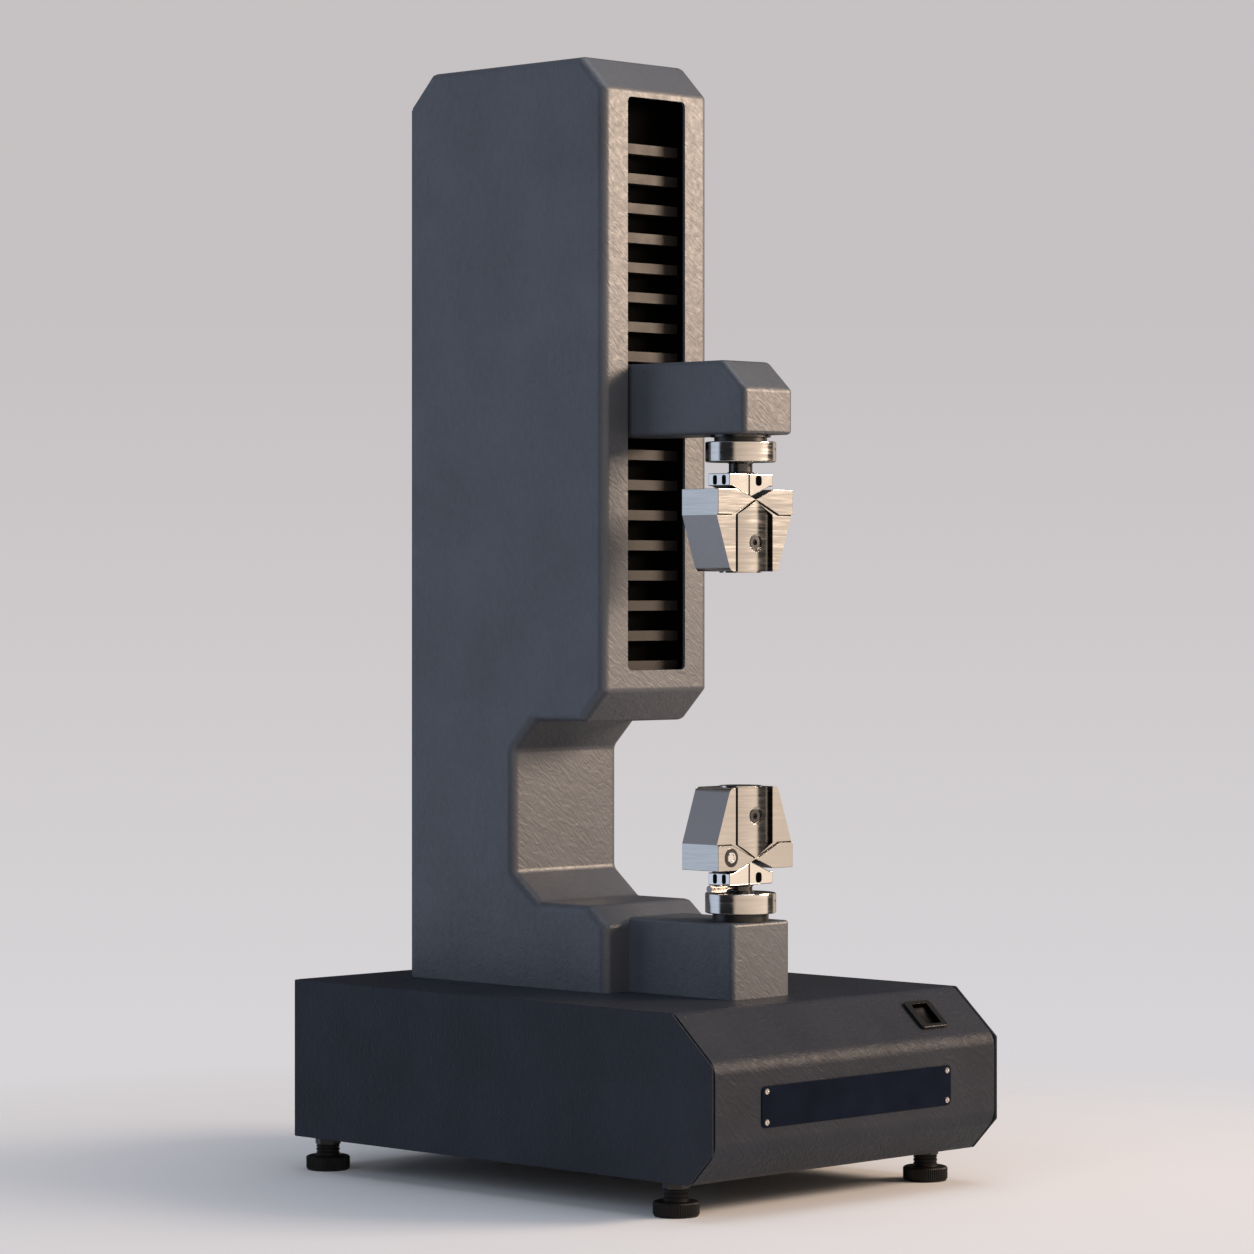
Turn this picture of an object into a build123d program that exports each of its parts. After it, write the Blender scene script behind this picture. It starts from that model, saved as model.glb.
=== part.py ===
from build123d import *
import os

# A bench machine that pulls a sample between two grips until it breaks.
# Millimetres. X to the right, Y to the back, Z up. The origin is on the floor,
# under the middle of the base.

# Base housing
base_width = 400.0
base_depth = 564.0
base_height = 154.0
top_chamfer_depth = 51.0
top_chamfer_height = 45.0
bottom_chamfer_depth = 29.0
bottom_chamfer_height = 30.0
side_panel_wall = 3.0
cover_wall = 2.5
cover_bend_radius = 9.0
cover_crease_radius = 3.0
tray_wall = 3.0
tray_flange_height = 24.0
rear_panel_wall = 2.5

# Feet
foot_height = 33.0
foot_pad_radius = 21.5
foot_pad_height = 14.0
foot_pad_chamfer = 2.0
foot_collar_radius = 11.5
foot_collar_height = 10.5
foot_stem_radius = 8.0
foot_stem_embed = 8.0
foot_nut_radius = 12.5
foot_nut_height = 7.5
foot_inset_x = 26.0
foot_inset_front = 69.0
foot_inset_rear = 21.0
foot_stem_reach = 14.0

# Column housing, a C seen from the side
column_centre_x = -26.0
column_width = 145.0
column_depth = 271.0
column_setback = 236.5
column_height = 892.0
column_wall = 3.0
column_edge_radius = 9.0
top_corner = 31.0
head_clearance = 256.5
head_corner = 30.0
recess_depth = 123.0
recess_upper_corner = 28.5
recess_lower_corner_depth = 33.5
recess_lower_corner_height = 27.0
pedestal_height = 82.5
pedestal_lead = 2.0
pedestal_corner_depth = 23.0
pedestal_corner_height = 18.5
rear_cover_wall = 2.0
rear_cover_inset = 1.0

# Slot that the arm travels in
slot_width = 79.0
slot_corner_radius = 5.0
slot_top_margin = 38.0
slot_bottom_margin = 49.5

# Bellows that close the slot above and below the arm
bellows_width = 95.0
bellows_setback = 11.5
bellows_pleat_depth = 18.0
bellows_skin = 2.0
upper_pleats = 9
lower_pleats = 8
pleat_ridge_share = 0.33
bellows_frame_wall = 2.2
bellows_frame_depth = 32.0
bellows_overlap = 2.5

# Spine, rails and ball screw inside the column
spine_gap = 6.0
spine_width = 100.0
spine_depth = 70.0
spine_wall = 9.0
spine_top_gap = 14.0
rail_width = 15.0
rail_height = 13.0
rail_spacing = 80.0
rail_end_margin = 8.0
carriage_width = 34.0
carriage_height = 23.0
carriage_length = 42.0
carriage_spacing = 78.0
carriage_lift = 2.0
plate_thickness = 10.0
plate_height = 132.0
plate_width = 116.0
screw_radius = 8.0
screw_journal_radius = 6.0
screw_setback = 30.0
screw_top_margin = 4.0
nut_radius = 15.0
nut_length = 44.0
nut_flange_radius = 21.0
nut_flange_height = 9.0
nut_housing_half_width = 22.0
nut_housing_height = 26.0
bearing_height = 24.0
limit_switch_size = 14.0
limit_switch_height = 32.0

# Arm on the crosshead
arm_width = 67.5
arm_height = 69.5
arm_setback = 90.0
arm_corner_depth = 29.0
arm_corner_height = 27.0
arm_edge_radius = 4.0
arm_wall = 7.0
arm_nose = 72.0

# Load path below and above the sample
grip_axis_setback = 126.5
block_width = 80.0
block_setback = 99.5
block_height = 71.0
block_edge_radius = 4.0
block_wall = 7.0
post_radius = 15.0
disc_radius = 26.5
disc_height = 7.5
load_cell_radius = 25.0
load_cell_reach = 6.2
load_cell_body = 34.0
flange_radius = 28.5
flange_height = 2.2
ring_radius = 33.5
ring_height = 19.5
ring_chamfer = 0.8
stem_radius = 10.0
neck_radius = 13.0
upper_neck_length = 11.0
lower_neck_length = 7.5
neck_pin_radius = 2.6
neck_pin_stand_out = 2.0

# Clevis that holds a grip
clevis_width = 60.0
clevis_depth = 28.0
clevis_height = 14.7
clevis_groove = 1.5
clevis_groove_depth = 5.0
tongue_thickness = 10.0
tongue_setback = 8.0
tongue_half_width = 7.0
window_width = 11.0
window_height = 12.0
window_depth = 5.0
window_offset = 11.0
swivel_gap = 3.0

# Grip body and its jaws
grip_width = 103.0
grip_narrow_width = 65.0
grip_band = 24.5
grip_height = 77.3
grip_front = 19.8
grip_back = 27.4
grip_edge_radius = 1.2
band_step = 0.8
notch_width = 53.0
notch_depth = 10.0
channel_width = 54.0
channel_depth = 11.0
channel_end = 24.0
jaw_radius = 20.0
jaw_stand_out = 1.2
jaw_gap = 1.0
jaw_roof_height = 15.0
shield_half_width = 22.5
shield_side = 6.0
shield_gap = 0.3
rear_jaw_floor = 29.0
pivot_height = 18.0
pivot_radius = 4.0
screw_height = 50.0
clamp_head_radius = 6.5
clamp_head_height = 8.0
clamp_head_recess = 1.5
clamp_shank_radius = 4.0
clamp_socket_radius = 3.2
clamp_socket_depth = 4.5
counterbore_radius = 8.0
cheek_pin_radius = 7.0
cheek_pin_offset = 34.0
cheek_pin_height = 12.2
cheek_pin_length = 12.0
cheek_pin_stand_out = 0.6
jaw_gap_at_rest = 202.8

# Thumb screw that locks the lower adapter
thumb_radius = 3.7
thumb_length = 12.0
thumb_offset = 31.5
thumb_shank_radius = 1.8
thumb_rise = 4.4

# Name plate on the front face, left bare
name_plate_width = 264.0
name_plate_height = 38.0
name_plate_thickness = 1.2
name_plate_corner_radius = 5.0
name_plate_centre_x = -2.5
name_plate_drop = 86.0
rivet_radius = 2.0
rivet_head = 1.1
rivet_inset_x = 6.0
rivet_inset_z = 5.0

# Mains switch on the upper slope of the front
switch_width = 37.5
switch_length = 34.5
switch_margin = 77.5
switch_slope_drop = 33.5
switch_stand_out = 3.5
switch_well_depth = 16.0
switch_window_width = 22.0
switch_window_length = 26.0
switch_body_wall = 2.0
rocker_gap = 0.6
rocker_depth = 9.0
rocker_sink = 1.5
rocker_valley = 1.2
rocker_tilt = 7.0
rocker_pivot_radius = 1.5

# Drive and electronics inside the base
deck_thickness = 10.0
deck_margin = 12.0
deck_front_margin = 62.0
deck_post_radius = 13.0
motor_size = 86.0
motor_height = 76.0
motor_corner_radius = 6.0
motor_shaft_radius = 7.0
motor_offset_x = 112.0
motor_bracket_wall = 6.0
motor_bracket_leg = 8.0
pulley_radius = 18.0
pulley_flange_radius = 20.5
pulley_flange_height = 1.5
belt_width = 15.0
belt_thickness = 2.4
belt_gap = 0.3
pulley_space = 36.0
power_supply_width = 110.0
power_supply_length = 190.0
power_supply_height = 46.0
board_width = 120.0
board_length = 160.0
board_thickness = 1.6
standoff_radius = 3.5
standoff_height = 8.0
tray_item_gap = 24.0
inlet_width = 48.0
inlet_height = 28.0
inlet_flange = 2.3
inlet_depth = 26.0
inlet_well_width = 24.0
inlet_well_height = 17.0
inlet_well_depth = 18.0
inlet_margin = 90.0
port_width = 32.0
port_height = 13.0
port_depth = 14.0
port_margin = 160.0
rear_fitting_drop = 78.0

# Fasteners and vents
cover_screw_radius = 3.2
cover_screw_head = 1.6
cover_screw_inset = 14.0
vent_width = 4.0
vent_length = 60.0
vent_pitch = 11.0
vent_rows = 8

# Clearances
seat_gap = 0.3
running_gap = 0.05
turning_gap = 0.3

# Levels and planes that several pieces share
base_front_y = -base_depth / 2
base_back_y = base_depth / 2
base_bottom_z = foot_height
base_top_z = foot_height + base_height
switch_centre_x = base_width / 2 - switch_margin
inlet_offset_x = base_width / 2 - inlet_margin
port_offset_x = base_width / 2 - port_margin
column_front_y = base_front_y + column_setback
column_back_y = column_front_y + column_depth
column_top_z = base_top_z + column_height
head_bottom_z = base_top_z + head_clearance
pedestal_top_z = base_top_z + pedestal_height
pedestal_front_y = column_front_y - pedestal_lead
recess_back_y = column_front_y + recess_depth
column_left_x = column_centre_x - column_width / 2
column_right_x = column_centre_x + column_width / 2
front_wall_back_y = column_front_y + column_wall
slot_bottom_z = head_bottom_z + slot_bottom_margin
slot_top_z = column_top_z - slot_top_margin
grip_axis_y = base_front_y + grip_axis_setback
block_front_y = base_front_y + block_setback
block_top_z = base_top_z + block_height
lower_ring_z = block_top_z + disc_height
lower_clevis_z = lower_ring_z + ring_height + lower_neck_length
lower_grip_z = lower_clevis_z + clevis_height
upper_grip_z = lower_grip_z + 2 * grip_height + jaw_gap_at_rest
upper_clevis_z = upper_grip_z + clevis_height
upper_ring_z = upper_clevis_z + upper_neck_length + ring_height
arm_bottom_z = upper_ring_z + load_cell_reach
arm_top_z = arm_bottom_z + arm_height
arm_middle_z = (arm_bottom_z + arm_top_z) / 2
arm_front_y = base_front_y + arm_setback
deck_top_z = base_top_z - cover_wall
deck_bottom_z = deck_top_z - deck_thickness
tray_top_z = base_bottom_z + tray_wall
inner_half_width = base_width / 2 - side_panel_wall
rear_panel_y = base_back_y - rear_panel_wall
spine_front_y = recess_back_y + column_wall + spine_gap
spine_back_y = spine_front_y + spine_depth
spine_top_z = column_top_z - column_wall - spine_top_gap
plate_back_y = spine_front_y - carriage_height
plate_front_y = plate_back_y - plate_thickness
screw_y = spine_front_y + screw_setback
rail_bottom_z = head_bottom_z + rail_end_margin
rail_top_z = spine_top_z - rail_end_margin
belt_middle_z = deck_bottom_z - pulley_space / 2
motor_x = column_centre_x + motor_offset_x
motor_top_z = deck_bottom_z - pulley_space - motor_bracket_wall


def box_between(x_low, x_high, y_low, y_high, z_low, z_high):
    """A box given by its lowest and highest corners."""
    middle = ((x_low + x_high) / 2, (y_low + y_high) / 2, (z_low + z_high) / 2)
    return Pos(*middle) * Box(x_high - x_low, y_high - y_low, z_high - z_low)


def upright_rod(radius, x, y, z_low, z_high):
    """A cylinder along Z."""
    return Pos(x, y, (z_low + z_high) / 2) * Cylinder(radius, z_high - z_low)


def rod_along_y(radius, x, z, y_low, y_high):
    """A cylinder along Y."""
    return Pos(x, (y_low + y_high) / 2, z) * Rot(90, 0, 0) * Cylinder(radius, y_high - y_low)


def rod_along_x(radius, y, z, x_low, x_high):
    """A cylinder along X."""
    return Pos((x_low + x_high) / 2, y, z) * Rot(0, 90, 0) * Cylinder(radius, x_high - x_low)


def across_x(outline, x_low, x_high):
    """A face drawn in Y and Z, extruded along X."""
    return Plane.YZ.offset(x_low) * extrude(outline, amount=x_high - x_low)


def across_y(outline, y_low, y_high):
    """A face drawn in X and Z, extruded along Y."""
    return Plane.XZ.offset(-y_high) * extrude(outline, amount=y_high - y_low)


def face_through(points):
    """A flat face with straight sides through the points."""
    return make_face(Polyline(*points, close=True))


def separate(pieces):
    """Several solids kept apart in one sub-part."""
    return Compound(children=[solid for piece in pieces for solid in piece.solids()])


# Base housing

def base_outline():
    """The side view of the base: sloped edges at the top and bottom of its front."""
    return face_through([
        (base_back_y, base_bottom_z),
        (base_front_y + bottom_chamfer_depth, base_bottom_z),
        (base_front_y, base_bottom_z + bottom_chamfer_height),
        (base_front_y, base_top_z - top_chamfer_height),
        (base_front_y + top_chamfer_depth, base_top_z),
        (base_back_y, base_top_z),
    ])


def cover_outline():
    """The side view of the bent sheet: the base's outline with round bends."""
    corners = base_outline().vertices().sort_by(Axis.X)
    outline = fillet(corners[:2], cover_bend_radius)
    creases = outline.vertices().sort_by(Axis.X)[-4:-2]
    return fillet(creases, cover_crease_radius)


def side_panel(side):
    """The flat plate that closes the left or right end of the base."""
    outer_x = side * base_width / 2
    inner_x = side * inner_half_width
    return across_x(base_outline(), min(outer_x, inner_x), max(outer_x, inner_x))


def column_passage():
    """The opening in the top sheet and deck that the screw and cables pass through."""
    half_width = column_width / 2 - column_wall - spine_gap
    return box_between(
        column_centre_x - half_width, column_centre_x + half_width,
        spine_front_y - spine_gap, spine_back_y + spine_gap,
        base_top_z - cover_wall, base_top_z,
    )


def switch_plane():
    """A plane on the upper slope, at the middle of the switch, with its normal outwards."""
    slope = Vector(0, -top_chamfer_depth, -top_chamfer_height).normalized()
    normal = Vector(0, -top_chamfer_height, top_chamfer_depth).normalized()
    top_edge = Vector(switch_centre_x, base_front_y + top_chamfer_depth, base_top_z)
    return Plane(origin=top_edge + slope * switch_slope_drop, x_dir=(1, 0, 0), z_dir=normal)


def base_cover():
    """The bent sheet over the front and top of the base."""
    outside = across_x(cover_outline(), -inner_half_width, inner_half_width)
    inner = offset(cover_outline(), amount=-cover_wall, kind=Kind.INTERSECTION)
    inside = across_x(inner, -inner_half_width, inner_half_width)
    open_back = box_between(
        -inner_half_width, inner_half_width, 0, base_back_y, base_bottom_z, base_top_z - cover_wall
    )
    open_bottom = box_between(
        -inner_half_width, inner_half_width, base_front_y + bottom_chamfer_depth, base_back_y,
        base_bottom_z, base_bottom_z + cover_wall,
    )
    sheet = outside - inside - open_back - open_bottom
    post_hole = upright_rod(
        post_radius + seat_gap, column_centre_x, grip_axis_y, base_top_z - cover_wall, base_top_z
    )
    well = switch_plane() * Box(
        switch_body_width() + 2 * seat_gap, switch_body_length() + 2 * seat_gap, 4 * cover_wall
    )
    return sheet - column_passage() - post_hole - well


def base_tray():
    """The bottom sheet with upturned edges that carries the drive and electronics."""
    half_width = inner_half_width
    front_y = base_front_y + bottom_chamfer_depth + cover_wall / 2
    back_y = rear_panel_y
    outside = box_between(
        -half_width, half_width, front_y, back_y, base_bottom_z, tray_top_z + tray_flange_height
    )
    inside = box_between(
        -half_width + tray_wall, half_width - tray_wall,
        front_y + tray_wall, back_y - tray_wall,
        tray_top_z, tray_top_z + tray_flange_height,
    )
    tray = outside - inside
    for x, y in foot_places():
        tray -= upright_rod(foot_stem_radius + running_gap, x, y, base_bottom_z, tray_top_z)
    return tray


def rear_panel():
    """The flat plate across the back of the base, with its two openings and vents."""
    plate = box_between(
        -inner_half_width, inner_half_width, rear_panel_y, rear_panel_y + rear_panel_wall,
        base_bottom_z, base_top_z - cover_wall,
    )
    fitting_z = base_top_z - rear_fitting_drop
    plate -= box_between(
        inlet_offset_x - inlet_width / 2 + 2 * inlet_flange,
        inlet_offset_x + inlet_width / 2 - 2 * inlet_flange,
        rear_panel_y, rear_panel_y + rear_panel_wall,
        fitting_z - inlet_height / 2 + inlet_flange, fitting_z + inlet_height / 2 - inlet_flange,
    )
    plate -= box_between(
        port_offset_x - port_width / 2, port_offset_x + port_width / 2,
        rear_panel_y, rear_panel_y + rear_panel_wall,
        fitting_z - port_height / 2, fitting_z + port_height / 2,
    )
    for row in range(vent_rows):
        x = -inner_half_width / 2 + (row - (vent_rows - 1) / 2) * vent_pitch
        plate -= box_between(
            x - vent_width / 2, x + vent_width / 2, rear_panel_y, rear_panel_y + rear_panel_wall,
            fitting_z - vent_length / 2, fitting_z + vent_length / 2,
        )
    return plate


def deck_plate():
    """The thick plate under the top sheet, which the column and the lower grip stand on."""
    plate = box_between(
        -inner_half_width + deck_margin, inner_half_width - deck_margin,
        base_front_y + deck_front_margin, rear_panel_y - deck_margin,
        deck_bottom_z, deck_top_z,
    )
    plate -= upright_rod(
        screw_journal_radius + turning_gap + 2, column_centre_x, screw_y, deck_bottom_z, deck_top_z
    )
    return plate


def deck_posts():
    """Four posts that carry the deck above the feet."""
    posts = []
    for x, y in foot_places():
        foot_end = tray_top_z + foot_stem_reach
        post = upright_rod(deck_post_radius, x, y, tray_top_z, deck_bottom_z)
        post -= upright_rod(foot_stem_radius + running_gap, x, y, tray_top_z, foot_end)
        posts.append(post)
    return separate(posts)


# Feet

def foot_places():
    """The centres of the four feet, front left first."""
    x = base_width / 2 - foot_inset_x
    front_y = base_front_y + foot_inset_front
    rear_y = base_back_y - foot_inset_rear
    return [(-x, front_y), (x, front_y), (-x, rear_y), (x, rear_y)]


def foot(x, y):
    """A levelling foot: a round pad with its collar, the stem and the lock nut under the base."""
    pad = upright_rod(foot_pad_radius, x, y, 0, foot_pad_height)
    pad = chamfer(pad.edges().group_by(Axis.Z)[-1], foot_pad_chamfer)
    collar_top = foot_pad_height + foot_collar_height
    pad += upright_rod(foot_collar_radius, x, y, foot_pad_height, collar_top)
    stem_low = foot_pad_height - foot_stem_embed
    pad -= upright_rod(foot_stem_radius, x, y, stem_low, collar_top)
    stem = upright_rod(foot_stem_radius, x, y, stem_low, tray_top_z + foot_stem_reach - seat_gap)
    nut = extrude(RegularPolygon(foot_nut_radius, 6), amount=foot_nut_height)
    nut -= Cylinder(foot_stem_radius + running_gap, 3 * foot_nut_height)
    nut_z = base_bottom_z - seat_gap - foot_nut_height
    return separate([pad, stem, Pos(x, y, nut_z) * nut])


# Name plate and switch

def name_plate():
    """The plate on the front face, left bare."""
    outline = RectangleRounded(name_plate_width, name_plate_height, name_plate_corner_radius)
    middle_z = base_top_z - name_plate_drop
    plate = across_y(Pos(name_plate_centre_x, middle_z) * outline,
                     base_front_y - name_plate_thickness, base_front_y)
    for x, z in rivet_places():
        plate -= rod_along_y(rivet_radius + running_gap, x, z,
                             base_front_y - name_plate_thickness, base_front_y)
    return plate


def rivet_places():
    """The four corners of the name plate, inset."""
    reach_x = name_plate_width / 2 - rivet_inset_x
    reach_z = name_plate_height / 2 - rivet_inset_z
    middle_z = base_top_z - name_plate_drop
    return [
        (name_plate_centre_x + side * reach_x, middle_z + level * reach_z)
        for side in (-1, 1)
        for level in (-1, 1)
    ]


def plate_rivets():
    """Four domed rivets through the name plate."""
    rivets = []
    plate_front_y = base_front_y - name_plate_thickness
    for x, z in rivet_places():
        shank = rod_along_y(rivet_radius, x, z, plate_front_y, base_front_y)
        head = rod_along_y(2 * rivet_radius, x, z, plate_front_y - rivet_head, plate_front_y)
        head = chamfer(head.edges().group_by(Axis.Y)[0], rivet_head * 0.6)
        rivets.append(shank + head)
    return separate(rivets)


def switch_body_width():
    """Width of the switch body that passes through the cover."""
    return switch_window_width + 2 * switch_body_wall


def switch_body_length():
    """Length of the switch body along the slope."""
    return switch_window_length + 2 * switch_body_wall


def switch_bezel():
    """The frame and well of the mains switch."""
    flange = Pos(0, 0, switch_stand_out / 2) * Box(switch_width, switch_length, switch_stand_out)
    flange = chamfer(flange.edges().group_by(Axis.Z)[-1], switch_stand_out / 3)
    depth = switch_well_depth
    body = Pos(0, 0, -depth / 2) * Box(switch_body_width(), switch_body_length(), depth)
    hollow_depth = depth + switch_stand_out - switch_body_wall
    hollow = Pos(0, 0, switch_stand_out - hollow_depth / 2) * Box(
        switch_window_width, switch_window_length, hollow_depth
    )
    frame = flange + body - hollow
    frame -= rod_along_x(
        rocker_pivot_radius + running_gap, 0, -rocker_depth / 2,
        -switch_body_width() / 2, switch_body_width() / 2,
    )
    return switch_plane() * frame


def switch_rocker():
    """The rocker, tilted with its lower half pressed in, and its pivot pin."""
    half = switch_window_length / 2 - 2 * rocker_gap
    crown = rocker_depth / 2 - rocker_sink
    outline = face_through([
        (-half, crown),
        (0, crown - rocker_valley),
        (half, crown),
        (half - rocker_gap, 0),
        (rocker_pivot_radius * 2, -rocker_depth / 2),
        (-rocker_pivot_radius * 2, -rocker_depth / 2),
        (-half + rocker_gap, 0),
    ])
    half_width = switch_window_width / 2 - rocker_gap
    rocker = across_x(outline, -half_width, half_width)
    rocker += rod_along_x(
        rocker_pivot_radius, 0, 0, -switch_body_width() / 2, switch_body_width() / 2
    )
    return switch_plane() * Pos(0, 0, -rocker_depth / 2) * Rot(rocker_tilt, 0, 0) * rocker


# Rear fittings

def power_inlet():
    """The mains inlet: flange, body, well and three flat pins."""
    z = base_top_z - rear_fitting_drop
    panel_back_y = rear_panel_y + rear_panel_wall
    flange = box_between(
        inlet_offset_x - inlet_width / 2, inlet_offset_x + inlet_width / 2,
        panel_back_y, panel_back_y + inlet_flange, z - inlet_height / 2, z + inlet_height / 2,
    )
    body_half_width = inlet_width / 2 - 2 * inlet_flange - running_gap
    body_half_height = inlet_height / 2 - inlet_flange - running_gap
    body = box_between(
        inlet_offset_x - body_half_width, inlet_offset_x + body_half_width,
        panel_back_y - inlet_depth, panel_back_y, z - body_half_height, z + body_half_height,
    )
    mouth_y = panel_back_y + inlet_flange
    well = box_between(
        inlet_offset_x - inlet_well_width / 2, inlet_offset_x + inlet_well_width / 2,
        mouth_y - inlet_well_depth, mouth_y, z - inlet_well_height / 2, z + inlet_well_height / 2,
    )
    housing = flange + body - well
    pins = []
    for step in (-1, 0, 1):
        x = inlet_offset_x + step * inlet_well_width / 4
        rise = 0 if step else inlet_well_height / 6
        pins.append(box_between(
            x - 1, x + 1, mouth_y - inlet_well_depth, mouth_y - inlet_well_depth / 4,
            z + rise - 2, z + rise + 2,
        ))
    return separate([housing] + pins)


def data_port():
    """The shielded data socket beside the inlet."""
    z = base_top_z - rear_fitting_drop
    panel_back_y = rear_panel_y + rear_panel_wall
    half_width = port_width / 2 - running_gap
    half_height = port_height / 2 - running_gap
    shell = box_between(
        port_offset_x - half_width, port_offset_x + half_width,
        panel_back_y - port_depth, panel_back_y + inlet_flange / 2, z - half_height, z + half_height,
    )
    mouth = box_between(
        port_offset_x - half_width + 2, port_offset_x + half_width - 2,
        panel_back_y - port_depth / 2, panel_back_y + inlet_flange / 2,
        z - half_height + 2, z + half_height - 2,
    )
    return shell - mouth


# Column housing

def column_outline():
    """The side view of the column: head, recess and pedestal."""
    return face_through([
        (column_back_y, base_top_z),
        (pedestal_front_y, base_top_z),
        (pedestal_front_y, pedestal_top_z - pedestal_corner_height),
        (pedestal_front_y + pedestal_corner_depth, pedestal_top_z),
        (recess_back_y - recess_lower_corner_depth, pedestal_top_z),
        (recess_back_y, pedestal_top_z + recess_lower_corner_height),
        (recess_back_y, head_bottom_z - recess_upper_corner),
        (recess_back_y - recess_upper_corner, head_bottom_z),
        (column_front_y + head_corner, head_bottom_z),
        (column_front_y, head_bottom_z + head_corner),
        (column_front_y, column_top_z - top_corner),
        (column_front_y + top_corner, column_top_z),
        (column_back_y - top_corner, column_top_z),
        (column_back_y, column_top_z - top_corner),
    ])


def slot_opening(y_low, y_high):
    """The rounded upright slot, as a solid to cut with."""
    outline = RectangleRounded(slot_width, slot_top_z - slot_bottom_z, slot_corner_radius)
    middle_z = (slot_top_z + slot_bottom_z) / 2
    return across_y(Pos(column_centre_x, middle_z) * outline, y_low, y_high)


def column_shell():
    """The one-piece housing of the column, open at the back."""
    outside = across_x(column_outline(), column_left_x, column_right_x)
    side_edges = [
        edge for edge in outside.edges().filter_by(Plane.YZ)
        if edge.center().Y < column_back_y - top_corner and edge.center().Z > base_top_z + 1
    ]
    outside = fillet(side_edges, column_edge_radius)
    inner_face = offset(column_outline(), amount=-column_wall, kind=Kind.INTERSECTION)
    inner_left = column_left_x + column_wall
    inner_right = column_right_x - column_wall
    inside = across_x(inner_face, inner_left, inner_right)
    open_back = box_between(
        inner_left, inner_right, spine_back_y, column_back_y,
        base_top_z, column_top_z - top_corner - column_wall,
    )
    open_bottom = box_between(
        inner_left, inner_right, pedestal_front_y + column_wall, column_back_y,
        base_top_z, base_top_z + column_wall,
    )
    shell = outside - inside - open_back - open_bottom
    return shell - slot_opening(column_front_y, front_wall_back_y)


def column_rear_cover():
    """The vented plate that closes the back of the column."""
    back_y = column_back_y - rear_cover_inset
    cover_left = column_left_x + column_wall
    cover_right = column_right_x - column_wall
    top_z = column_top_z - top_corner - column_wall
    plate = box_between(
        cover_left, cover_right, back_y - rear_cover_wall, back_y, base_top_z, top_z
    )
    for level in (1, 2):
        middle_z = base_top_z + level * (top_z - base_top_z) / 3
        for row in range(vent_rows):
            z = middle_z + (row - (vent_rows - 1) / 2) * vent_pitch
            plate -= box_between(
                column_centre_x - vent_length / 2, column_centre_x + vent_length / 2,
                back_y - rear_cover_wall, back_y, z - vent_width / 2, z + vent_width / 2,
            )
    return plate


def cover_screw(x, z, seat_y):
    """A low round screw head with a socket, on a plate that faces the back."""
    head = rod_along_y(cover_screw_radius, x, z, seat_y, seat_y + cover_screw_head)
    return head - rod_along_y(
        cover_screw_radius / 2, x, z, seat_y + cover_screw_head / 2, seat_y + cover_screw_head
    )


def cover_screws():
    """The screws on the base's rear panel and the column's rear cover."""
    heads = []
    panel_y = rear_panel_y + rear_panel_wall
    reach_x = inner_half_width - cover_screw_inset
    low_z = base_bottom_z + cover_screw_inset
    high_z = base_top_z - cover_wall - cover_screw_inset
    for x in (-reach_x, 0, reach_x):
        for z in (low_z, high_z):
            heads.append(cover_screw(x, z, panel_y))
    cover_y = column_back_y - rear_cover_inset
    reach_x = column_width / 2 - column_wall - cover_screw_inset
    low_z = base_top_z + cover_screw_inset
    high_z = column_top_z - top_corner - column_wall - cover_screw_inset
    for side in (-1, 1):
        for z in (low_z, (low_z + high_z) / 2, high_z):
            heads.append(cover_screw(column_centre_x + side * reach_x, z, cover_y))
    return separate(heads)


# Spine, rails and ball screw

def column_spine():
    """The steel channel inside the column that carries the rails and the bearings."""
    half_width = spine_width / 2
    outside = box_between(
        column_centre_x - half_width, column_centre_x + half_width,
        spine_front_y, spine_back_y, deck_top_z, spine_top_z,
    )
    hollow = box_between(
        column_centre_x - rail_gap_half(), column_centre_x + rail_gap_half(),
        spine_front_y, spine_back_y - spine_wall, deck_top_z, spine_top_z,
    )
    return outside - hollow


def rail_gap_half():
    """Half the clear width between the two limbs of the spine."""
    return (rail_spacing - rail_width) / 2 - 3


def guide_rails():
    """Two upright guide rails on the front of the spine."""
    rails = []
    for side in (-1, 1):
        x = column_centre_x + side * rail_spacing / 2
        rail = box_between(
            x - rail_width / 2, x + rail_width / 2, spine_front_y - rail_height, spine_front_y,
            rail_bottom_z, rail_top_z,
        )
        rails.append(rail)
    return separate(rails)


def rail_carriages():
    """Four runner blocks that slide on the rails behind the carriage plate."""
    runners = []
    for side in (-1, 1):
        for level in (-1, 1):
            x = column_centre_x + side * rail_spacing / 2
            z = arm_middle_z + level * carriage_spacing / 2
            runner = box_between(
                x - carriage_width / 2, x + carriage_width / 2,
                plate_back_y, spine_front_y - carriage_lift,
                z - carriage_length / 2, z + carriage_length / 2,
            )
            groove = box_between(
                x - rail_width / 2 - seat_gap, x + rail_width / 2 + seat_gap,
                spine_front_y - rail_height - seat_gap, spine_front_y,
                z - carriage_length / 2, z + carriage_length / 2,
            )
            runners.append(runner - groove)
    return separate(runners)


def carriage_plate():
    """The plate between the arm and the runner blocks."""
    return box_between(
        column_centre_x - plate_width / 2, column_centre_x + plate_width / 2,
        plate_front_y, plate_back_y,
        arm_middle_z - plate_height / 2, arm_middle_z + plate_height / 2,
    )


def nut_housing():
    """The bracket behind the plate that holds the ball nut."""
    block = box_between(
        column_centre_x - nut_housing_half_width, column_centre_x + nut_housing_half_width,
        plate_back_y, screw_y + nut_housing_half_width,
        arm_middle_z - nut_housing_height / 2, arm_middle_z + nut_housing_height / 2,
    )
    bore = upright_rod(
        nut_radius + running_gap, column_centre_x, screw_y,
        arm_middle_z - nut_housing_height / 2, arm_middle_z + nut_housing_height / 2,
    )
    return block - bore


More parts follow.
